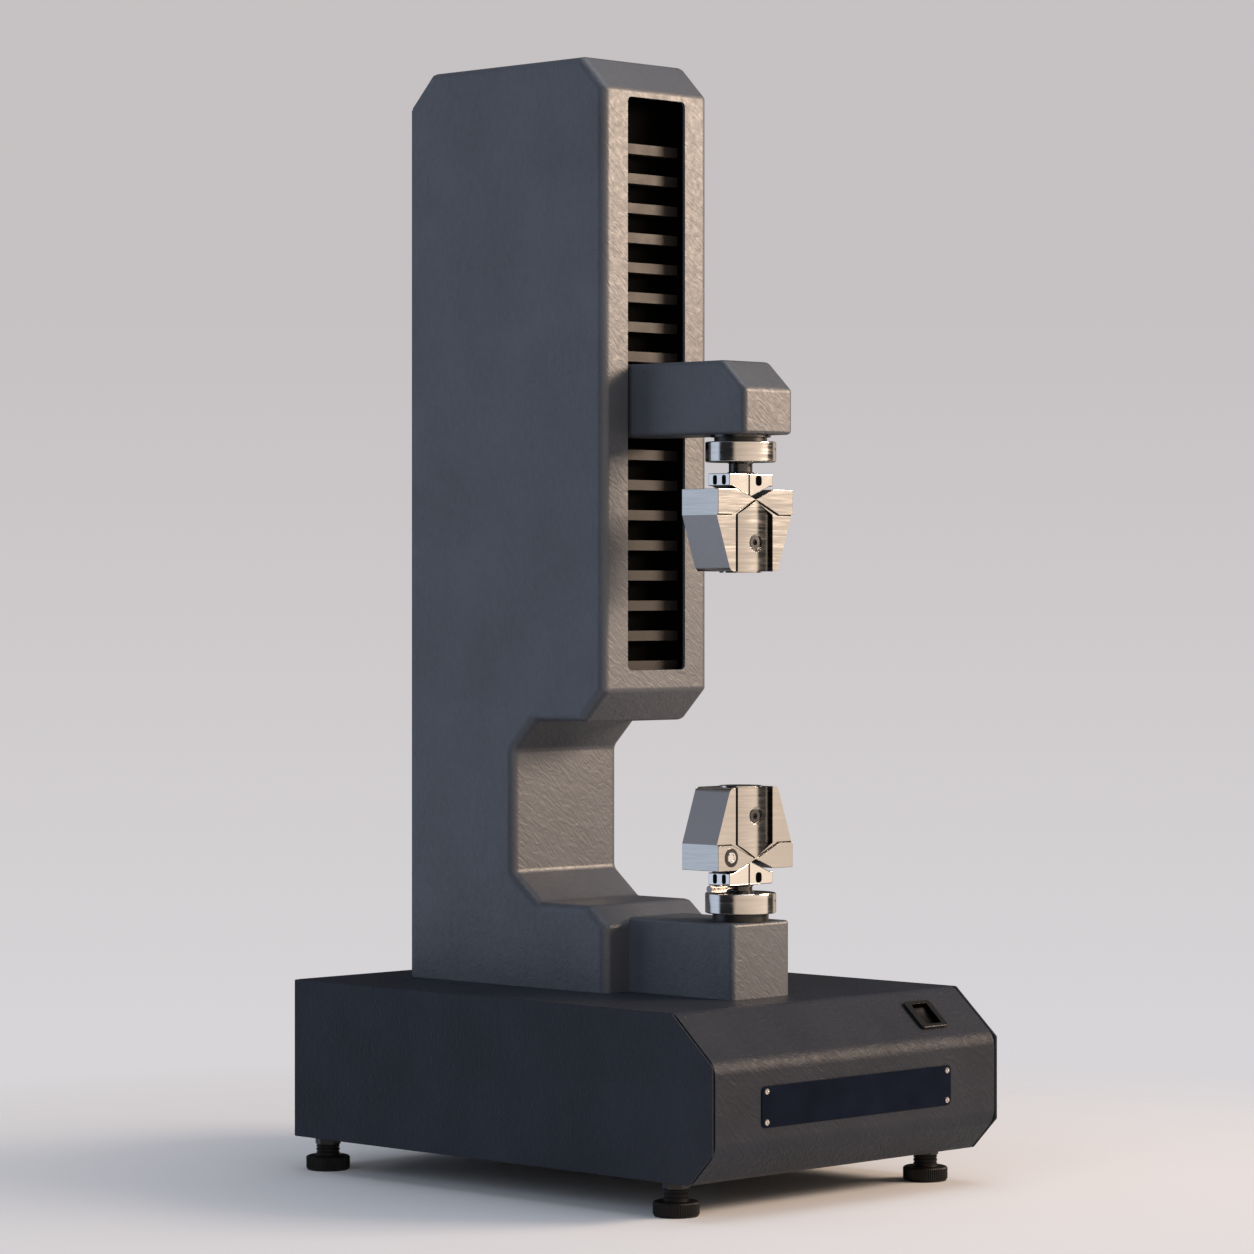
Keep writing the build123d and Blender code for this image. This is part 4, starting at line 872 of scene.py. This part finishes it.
def make_switch_rocker():
    """The rocker: a shallow hollow face, with its upper half standing higher."""
    half, half_width = 0.0118, 0.0104
    face_low, face_rise = 0.0018, 0.0010
    steps = 12
    outline = [(-half, 0.0026)]
    for i in range(1, steps):
        t = -1 + 2 * i / steps
        outline.append((half * t, face_low + face_rise * t * t))
    outline += [(half, 0.0026), (half - 0.0006, 0), (0.003, -0.0042), (-0.003, -0.0042), (-half + 0.0006, 0)]
    rocker = new_piece("switch_key", prism(outline, 0, -half_width, half_width), black_plastic)
    bevel(rocker, 0.0005, segments=2, angle=40)
    apply_modifiers(rocker)
    pivot = SWITCH_PLACE @ Matrix.Translation((0, 0, -0.0045))
    rocker.data.transform(pivot @ Matrix.Rotation(math.radians(7), 4, "X"))
    smooth_faces(rocker)
    carry(rocker, "rocker", "black_plastic", "switch_rocker")


# Name plate, left bare

PLATE_CENTRE = (-0.0025, 0.101)
PLATE_WIDTH, PLATE_HEIGHT = 0.264, 0.038
PLATE_THICKNESS = 0.0012
RIVET_IN, RIVET_DOWN = 0.006, 0.005


def make_plate():
    """The bare plate with its fine bevelled edge, and four hollow rivets."""
    outline = rounded_rectangle(PLATE_CENTRE, PLATE_WIDTH, PLATE_HEIGHT, 0.005)
    plate_front = BASE_FRONT - PLATE_THICKNESS
    plate = new_piece("front_plate", prism(outline, 1, plate_front, BASE_FRONT), plate_finish)
    bevel(plate, 0.0004, segments=2, angle=60)
    apply_now(plate)
    carry(plate, "machine_frame", "dark_plate", "name_plate")
    heads = []
    profile = [
        (0, 0.0004), (0.0010, 0.0004), (0.0013, 0.0012), (0.0022, 0.0012),
        (0.0028, 0.0007), (0.0030, 0), (0, 0),
    ]
    for side in (-1, 1):
        for level in (-1, 1):
            x = PLATE_CENTRE[0] + side * (PLATE_WIDTH / 2 - RIVET_IN)
            z = PLATE_CENTRE[1] + level * (PLATE_HEIGHT / 2 - RIVET_DOWN)
            place = Matrix.Translation((x, plate_front, z)) @ Matrix.Rotation(math.radians(90), 4, "X")
            heads.append(placed(lathe(profile, 32), place))
    rivets = new_piece("plate_rivet_heads", joined(*heads), rivet_steel)
    smooth_faces(rivets)
    carry(rivets, "machine_frame", "bright_steel", "plate_rivets")


# Feet

FOOT_PLACES = {
    "front_left_foot": (-0.174, -0.213), "front_right_foot": (0.174, -0.213),
    "rear_left_foot": (-0.174, 0.261), "rear_right_foot": (0.174, 0.261),
}


def make_foot(name, x, y):
    """A levelling foot, drawn in millimetres: fluted pad, ringed collar, threaded stem and lock nut."""
    flutes = 64
    pad = lathe([
        (0, 0), (20.0, 0), (20.6, 0.6), (20.6, 1.6), (21.5, 2.2),
        (21.5, 12.2), (20.6, 13.4), (19.0, 14.0),
        (11.8, 14.0), (11.5, 15.0), (11.5, 17.2), (10.6, 17.6),
        (10.6, 18.4), (11.5, 18.8), (11.5, 20.8), (10.6, 21.2),
        (10.6, 22.0), (11.5, 22.4), (11.2, 24.5), (0, 24.5),
    ], 2 * flutes)
    flute(pad, flutes, 21.4, 0.972)
    stem_low, stem_high = 24.0, 47.0
    crest, root, pitch = 8.0, 7.2, 1.2
    stem_profile = [(0, stem_low)]
    z = stem_low
    while z < stem_high:
        stem_profile += [(crest, z), (root, z + pitch / 2)]
        z += pitch
    stem_profile.append((0, z))
    stem = lathe(stem_profile, 40)
    nut = prism(arc((0, 0), 12.5, 10, 310, 5), 2, 25.2, 32.7)
    foot = new_piece(name + "_turned", joined(pad, stem, nut), rubber)
    foot.data.materials.append(black_metal_and_shade)
    for face in foot.data.polygons:
        if face.center.z > stem_low + 0.4:
            face.material_index = 1
    foot.data.transform(Matrix.Translation((x, y, 0)) @ Matrix.Scale(MM, 4))
    smooth_faces(foot, angle=25)
    carry(foot, name, "foot_rubber", name)


# Bellows: a backing sheet between the slot's end and the arm, and evenly spaced ridges

BELLOWS_HALF = 0.0475
RIDGE_FRONT = -0.0275
BACKING = -0.013
CLOTH = 0.0014
RIDGE_HEIGHT = 0.0096
BELLOWS_PAST_SLOT = 0.0025
BELLOWS_GAP = 0.0003


def blend_evenly(piece):
    """Bakes the piece's placement into its mesh."""
    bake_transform(piece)


def make_bellows(name, fixed_end, moving_end, first_ridge, pitch, ridges):
    """One bellows: its backing and its ridges, from the lowest up."""
    left, right = COLUMN_MIDDLE - BELLOWS_HALF, COLUMN_MIDDLE + BELLOWS_HALF
    low, high = sorted((fixed_end, moving_end))
    # The backing is near-black painted shade: the dark seen between the ridges
    sheet = box_mesh((left, BACKING, low), (right, BACKING + CLOTH, high))
    backing = new_piece(name + "_backing", sheet, painted_shade_black)
    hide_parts(name)
    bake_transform(backing)
    for i in range(ridges):
        centre = first_ridge + i * pitch
        bottom, top = centre - RIDGE_HEIGHT / 2, centre + RIDGE_HEIGHT / 2
        outline = [
            (BACKING, bottom), (RIDGE_FRONT, bottom), (RIDGE_FRONT, top), (BACKING, top),
            (BACKING, top - CLOTH), (RIDGE_FRONT + CLOTH, top - CLOTH),
            (RIDGE_FRONT + CLOTH, bottom + CLOTH), (BACKING, bottom + CLOTH),
        ]
        ridge = new_piece("%s_ridge_%d" % (name, i + 1), prism(outline, 0, left, right), bellows_fabric)
        blend_evenly(ridge)


# Grips. Each is drawn in millimetres, pointing up from its wide end, with its axis at x = 0, y = 0.

# Turns a turned shape's axis to run from the front to the back
INTO_FRONT = Matrix.Rotation(math.radians(-90), 4, "X")

LOWER_GRIP_PLACE = Matrix.Translation((*GRIP_AXIS, 0.3072)) @ Matrix.Scale(MM, 4)
UPPER_GRIP_PLACE = (Matrix.Translation((*GRIP_AXIS, 0.6646)) @ Matrix.Scale(MM, 4)
                    @ Matrix.Scale(-1, 4, (0, 0, 1)))
WIDE, NARROW = 51.5, 32.5
BAND = 24.5
GRIP_LENGTH = 77.3
GRIP_FRONT, GRIP_BACK = -19.8, 27.4
GRIP_ROUNDING = 4.5
CHEEK_LOW = 23.5
CHEEK_TURN = 32.3
CHEEK_STEP = 2.2
GROOVE = 1.3
NOTCH_HALF, NOTCH_DEPTH = 25.6, 10
CHANNEL_HALF = 25.6
CHANNEL_DEPTH = 11.0
JAW_RADIUS = 20.0
JAW_ROOM = 0.3
SCREW_LEVEL = 50.5
PIVOT_LEVEL = 18
SWIVEL_GAP = 3.0
CLEVIS_HALF, CLEVIS_FRONT, CLEVIS_LOW = 30, -14, -14.7
TONGUE_HALF, TONGUE_FRONT, TONGUE_BACK = 7, 3, 13

# How far a cutting shape reaches past a face, and a level past the narrow end
OUT = 5
FAR = 90


def settle(piece, place):
    """Moves a piece drawn in millimetres to its place on the machine."""
    piece.data.transform(place)
    if place.determinant() < 0:
        piece.data.flip_normals()
    return smooth_faces(piece)


def make_grip_body(name, place, body, node_name):
    """The tapered body with bow-tie cheeks, recessed taper, pointed channel and notch."""
    outline = [
        (-WIDE, 0), (WIDE, 0), (WIDE, BAND), (NARROW, GRIP_LENGTH), (-NARROW, GRIP_LENGTH), (-WIDE, BAND),
    ]
    grip = new_piece(name, prism(outline, 1, GRIP_FRONT, GRIP_BACK), grip_steel)
    weigh_edges(grip, grip_edge_weight)
    bevel(grip, GRIP_ROUNDING, segments=5, weights=True)
    apply_modifiers(grip)
    before = GRIP_FRONT - OUT
    step_back = GRIP_FRONT + CHEEK_STEP
    beside = 60
    past_cheeks = [
        (-beside, CHEEK_LOW), (-CHEEK_TURN, CHEEK_LOW), (-2, NOTCH_DEPTH), (2, NOTCH_DEPTH),
        (CHEEK_TURN, CHEEK_LOW), (beside, CHEEK_LOW), (beside, FAR), (-beside, FAR),
    ]
    cut(grip, prism(past_cheeks, 1, before, step_back))
    # Black painted shade lines the cheek grooves, the channel, the jaw's bore and the tongue's room
    for side in (-1, 1):
        cut(grip, prism(cheek_groove(side), 1, before, step_back + GROOVE), black_metal_and_shade)
    notch = [(-27.5, -1), (-NOTCH_HALF, 0), (0, NOTCH_DEPTH), (NOTCH_HALF, 0), (27.5, -1)]
    cut(grip, prism(notch, 1, before, GRIP_BACK + OUT))
    channel = [
        (-CHANNEL_HALF, FAR), (-CHANNEL_HALF, 24), (0, NOTCH_DEPTH), (CHANNEL_HALF, 24), (CHANNEL_HALF, FAR),
    ]
    cut(grip, prism(channel, 1, before, GRIP_FRONT + CHANNEL_DEPTH), black_metal_and_shade)
    bore, bore_low = JAW_RADIUS + JAW_ROOM, 29
    cut(grip, lathe([(0, bore_low), (bore, bore_low), (bore, FAR), (0, FAR)], 72), black_metal_and_shade)
    cut(grip, box_mesh((-bore, before, 24.3), (bore, 0.5, FAR)), black_metal_and_shade)
    tongue_side = TONGUE_HALF + SWIVEL_GAP
    tongue_room = box_mesh((-tongue_side, TONGUE_FRONT - JAW_ROOM, -OUT),
                           (tongue_side, TONGUE_BACK + JAW_ROOM, PIVOT_LEVEL + TONGUE_HALF + JAW_ROOM))
    cut(grip, tongue_room, black_metal_and_shade)
    bevel(grip, 0.45, segments=2, angle=28)
    apply_modifiers(grip)
    paint_grip_finish_and_shade(grip)
    settle(grip, place)
    carry(grip, body, "brushed_grip_steel", node_name)


def paint_grip_finish_and_shade(grip):
    """Satin on the side tapers; darker satin on the channel's far wall as painted shade, and black painted
    shade on the cheeks' step walls.
    """
    grip.data.materials.append(satin_steel)
    satin = len(grip.data.materials) - 1
    black = grip.data.materials.find("black_metal_and_shade")
    for face in grip.data.polygons:
        x, y, z = face.center
        if abs(face.normal.x) > 0.85 and z > BAND and abs(x) > CHANNEL_HALF + 1:
            face.material_index = satin
        # The cheeks' step walls get black painted shade
        step_wall = y < GRIP_FRONT + CHEEK_STEP + 0.1 and abs(face.normal.y) < 0.85
        if step_wall and abs(x) < WIDE - 2 and 0.6 < z < BAND + 1:
            face.material_index = black
        # The channel's far wall gets darker satin as painted shade
        far_wall = face.normal.x < -0.85 and 0 < x < CHANNEL_HALF + 1 and y < -9
        if far_wall and z > CHEEK_LOW:
            face.material_index = satin


def cheek_groove(side):
    """The outline of the fine groove that follows the edge of one cheek."""
    tip_x, tip_z = 6, 11.8
    end_x = WIDE - 0.5
    lean = math.hypot(CHEEK_TURN - tip_x, CHEEK_LOW - tip_z) / (CHEEK_TURN - tip_x)
    outline = [
        (end_x, CHEEK_LOW), (CHEEK_TURN, CHEEK_LOW), (tip_x, tip_z), (tip_x, tip_z + GROOVE * lean),
        (CHEEK_TURN, CHEEK_LOW + GROOVE), (end_x, CHEEK_LOW + GROOVE),
    ]
    points = [(side * x, z) for x, z in outline]
    return points if side < 0 else points[::-1]


def grip_edge_weight(a, b):
    """Rounded corners at the narrow end, and fine edges elsewhere."""
    along_y = abs(a.y - b.y) > 10
    if along_y and (a.z + b.z) / 2 > GRIP_LENGTH - 1:
        return 1.0
    return 0.12


def make_front_jaw(name, place, body, node_name):
    """The curved shield and the half-round jaw behind it, with the screw's counterbore."""
    half, side_y, back_y = 20.7, -15.9, GRIP_FRONT + CHANNEL_DEPTH - JAW_ROOM
    bulge = JAW_RADIUS + side_y
    radius = (half * half + bulge * bulge) / (2 * bulge)
    half_turn = math.degrees(math.asin(half / radius))
    front = arc((0, -JAW_RADIUS + radius), radius, 270 - half_turn, 270 + half_turn, 24)
    low = 5
    shield = prism([(-half, back_y)] + front + [(half, back_y)], 2, low, GRIP_LENGTH)
    jaw = new_piece(name, shield, grip_steel)
    core = prism(arc((0, 0), JAW_RADIUS, 180, 360, 40), 2, low, GRIP_LENGTH + 1.2)
    add(jaw, placed(core, Matrix.Translation((0, -0.5, 0)) @ Matrix.Diagonal((1, 0.975, 1, 1))))
    # The shield's sides get black painted shade: the dark of the gaps beside the shield
    jaw.data.materials.append(black_metal_and_shade)
    for face in jaw.data.polygons:
        if abs(face.normal.x) > 0.95:
            face.material_index = 1
    pitched = [(-40, -OUT), (40, -OUT), (40, 35.5), (0, 10.6), (-40, 35.5)]
    cut(jaw, prism(pitched, 1, -30, OUT))
    hole, depth = 8.6, 4.6
    bore = lathe([(0, -8), (hole, -8), (hole, depth), (0, depth)], 48)
    cut(jaw, placed(bore, Matrix.Translation((0, -JAW_RADIUS, SCREW_LEVEL)) @ INTO_FRONT))
    bevel(jaw, 0.4, segments=2, angle=35)
    apply_modifiers(jaw)
    settle(jaw, place)
    carry(jaw, body, "brushed_grip_steel", node_name)


def make_adapter(name, place, body, node_name, neck_length, stem_length):
    """Stem, dark neck and tongue, and the bright clevis with its gap, window and side slots."""
    shoulder, peak = -SWIVEL_GAP, NOTCH_DEPTH - SWIVEL_GAP
    block = [
        (-CLEVIS_HALF, CLEVIS_LOW), (CLEVIS_HALF, CLEVIS_LOW), (CLEVIS_HALF, shoulder),
        (NOTCH_HALF, shoulder), (0, peak), (-NOTCH_HALF, shoulder), (-CLEVIS_HALF, shoulder),
    ]
    clevis = new_piece(name, prism(block, 1, CLEVIS_FRONT, -CLEVIS_FRONT), bright_steel)
    clevis.data.materials.append(dark_steel)
    bevel(clevis, 1.0)
    apply_modifiers(clevis)
    # The gap, the window and the side slots are lined with black painted shade
    cut(clevis, box_mesh((-4.2, CLEVIS_FRONT - 2, -20), (-2.2, -6, 12)), black_metal_and_shade)
    window = rounded_rectangle((10.0, -8.2), 8.5, 9.8, 3.2)
    cut(clevis, prism(window, 1, CLEVIS_FRONT - 2, CLEVIS_FRONT + OUT), black_metal_and_shade)
    for y in (-6.5, 5.0):
        side_slot = rounded_rectangle((y, -8.6), 5.4, 9.2, 2.2)
        cut(clevis, prism(side_slot, 0, -CLEVIS_HALF - 2, -CLEVIS_HALF + OUT), black_metal_and_shade)
    tongue_outline = [(-TONGUE_HALF, shoulder), (TONGUE_HALF, shoulder)]
    tongue_outline += arc((0, PIVOT_LEVEL), TONGUE_HALF, 0, 180, 24)
    tongue = prism(tongue_outline, 1, TONGUE_FRONT, TONGUE_BACK)
    neck_low = CLEVIS_LOW - neck_length
    turned = lathe([
        (0, neck_low - stem_length), (10, neck_low - stem_length), (10, neck_low), (13, neck_low),
        (12.2, neck_low + 1.0), (11.2, neck_low + 1.6), (11.2, -16.6), (12.4, -16.0), (13, CLEVIS_LOW),
        (0, CLEVIS_LOW),
    ], 56)
    shank = new_piece("shank", joined(tongue, turned), dark_steel)
    bpy.ops.object.select_all(action="DESELECT")
    shank.select_set(True)
    clevis.select_set(True)
    bpy.context.view_layer.objects.active = clevis
    bpy.ops.object.join()
    settle(clevis, place)
    carry(clevis, body, "polished_steel", node_name)


def make_lower_pins():
    """The cheek pin in a black ring of painted shade, standing for the dark groove round it, and the pivot
    pin at the back.
    """
    pin, rim = 5.4, 8.8
    cheek = lathe([(0, -0.5), (2.8, -0.5), (3.4, -1.2), (4.8, -1.2), (pin, -0.6), (pin, 11.4), (0, 11.4)], 48)
    collar = lathe([(pin, -0.4), (rim, -0.4), (rim, 11.0), (pin, 11.0)], 48)
    into_cheek = Matrix.Translation((-34, GRIP_FRONT, 12.2)) @ INTO_FRONT
    pivot = lathe([(0, 1.3), (4, 1.3), (4, 26.8), (3.4, GRIP_BACK), (0, GRIP_BACK)], 32)
    into_back = Matrix.Translation((0, 0, PIVOT_LEVEL)) @ INTO_FRONT
    both = joined(placed(cheek, into_cheek), placed(pivot, into_back))
    pins = new_piece("lower_pins_turned", both, bright_steel)
    settle(pins, LOWER_GRIP_PLACE)
    carry(pins, "lower_grip", "bright_steel", "lower_grip_pins")
    # The black ring is painted shade: the dark groove round the cheek pin
    ring = new_piece("lower_pin_groove_shade", placed(collar, into_cheek), black_metal_and_shade)
    settle(ring, LOWER_GRIP_PLACE)
    carry(ring, "lower_grip", "black_fitting")


def make_thumb_screw():
    """The knurled thumb screw beside the lower adapter."""
    low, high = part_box("lower_thumb_screw")
    middle = [(a + b) / 2 for a, b in zip(low, high)]
    radius = (high[2] - low[2]) / 2
    length = high[0] - low[0]
    knurls = 26
    head_end = length * 0.62
    edge = radius * 0.14
    shank = 1.8 * MM
    head = lathe([
        (0, 0), (radius - edge, 0), (radius, edge), (radius, head_end - edge),
        (radius - edge, head_end), (shank, head_end), (shank, length), (0, length),
    ], 2 * knurls)
    flute(head, knurls, radius * 0.95, 0.9)
    place = Matrix.Translation((low[0], middle[1], middle[2])) @ Matrix.Rotation(math.radians(90), 4, "Y")
    screw = new_piece("thumb_screw_knurled", placed(head, place), satin_steel)
    smooth_faces(screw, angle=25)
    carry(screw, "lower_thumb", "bright_steel", "lower_thumb_screw")


def make_ring(name, body, node_name, level):
    """The bright lock ring, drawn in millimetres, with rounded edges and a small hole for its key."""
    profile = [
        (10.3, 0), (32.2, 0), (33.1, 0.5), (33.5, 1.2),
        (33.5, 18.0), (33.1, 18.7), (32.2, 19.2), (10.3, 19.2),
    ]
    ring = new_piece(name, lathe(profile, 128), ring_steel)
    hole = placed(lathe([(0, 30), (1.4, 30), (1.4, 40), (0, 40)], 24),
                  Matrix.Rotation(math.radians(-62), 4, "Z") @ Matrix.Translation((0, 0, 12))
                  @ Matrix.Rotation(math.radians(90), 4, "Y"))
    # The key hole is lined with black painted shade
    cut(ring, hole, black_metal_and_shade)
    settle(ring, Matrix.Translation((*GRIP_AXIS, level)) @ Matrix.Scale(MM, 4))
    carry(ring, body, "polished_steel", node_name)


make_column()
make_arm()
make_block()
make_base_cover()
make_side_panel(-1, "left_side_panel")
make_side_panel(1, "right_side_panel")
make_switch_bezel()
make_switch_rocker()
make_plate()
for foot_name, foot_place in FOOT_PLACES.items():
    make_foot(foot_name, *foot_place)
make_bellows("upper_bellows", SLOT_HIGH + BELLOWS_PAST_SLOT, ARM_HIGH + BELLOWS_GAP,
             first_ridge=0.7942, pitch=0.0285, ridges=8)
make_bellows("lower_bellows", SLOT_LOW - BELLOWS_PAST_SLOT, ARM_LOW - BELLOWS_GAP,
             first_ridge=0.4968, pitch=0.0290, ridges=8)
make_grip_body("lower_grip_housing", LOWER_GRIP_PLACE, "lower_grip", "lower_grip_body")
make_grip_body("upper_grip_housing", UPPER_GRIP_PLACE, "upper_grip", "upper_grip_body")
make_front_jaw("lower_jaw_shield", LOWER_GRIP_PLACE, "lower_jaw", "lower_front_jaw")
make_front_jaw("upper_jaw_shield", UPPER_GRIP_PLACE, "upper_jaw", "upper_front_jaw")
make_lower_pins()
make_thumb_screw()
make_adapter("lower_clevis", LOWER_GRIP_PLACE, "machine_frame", "lower_adapter",
             neck_length=7.5, stem_length=26.0)
make_adapter("upper_clevis", UPPER_GRIP_PLACE, "crosshead", "upper_adapter",
             neck_length=11.0, stem_length=30.0)
make_ring("lower_ring_turned", "lower_ring", "lower_lock_ring", level=0.2655)
make_ring("upper_ring_turned", "upper_ring", "upper_lock_ring", level=0.6903)
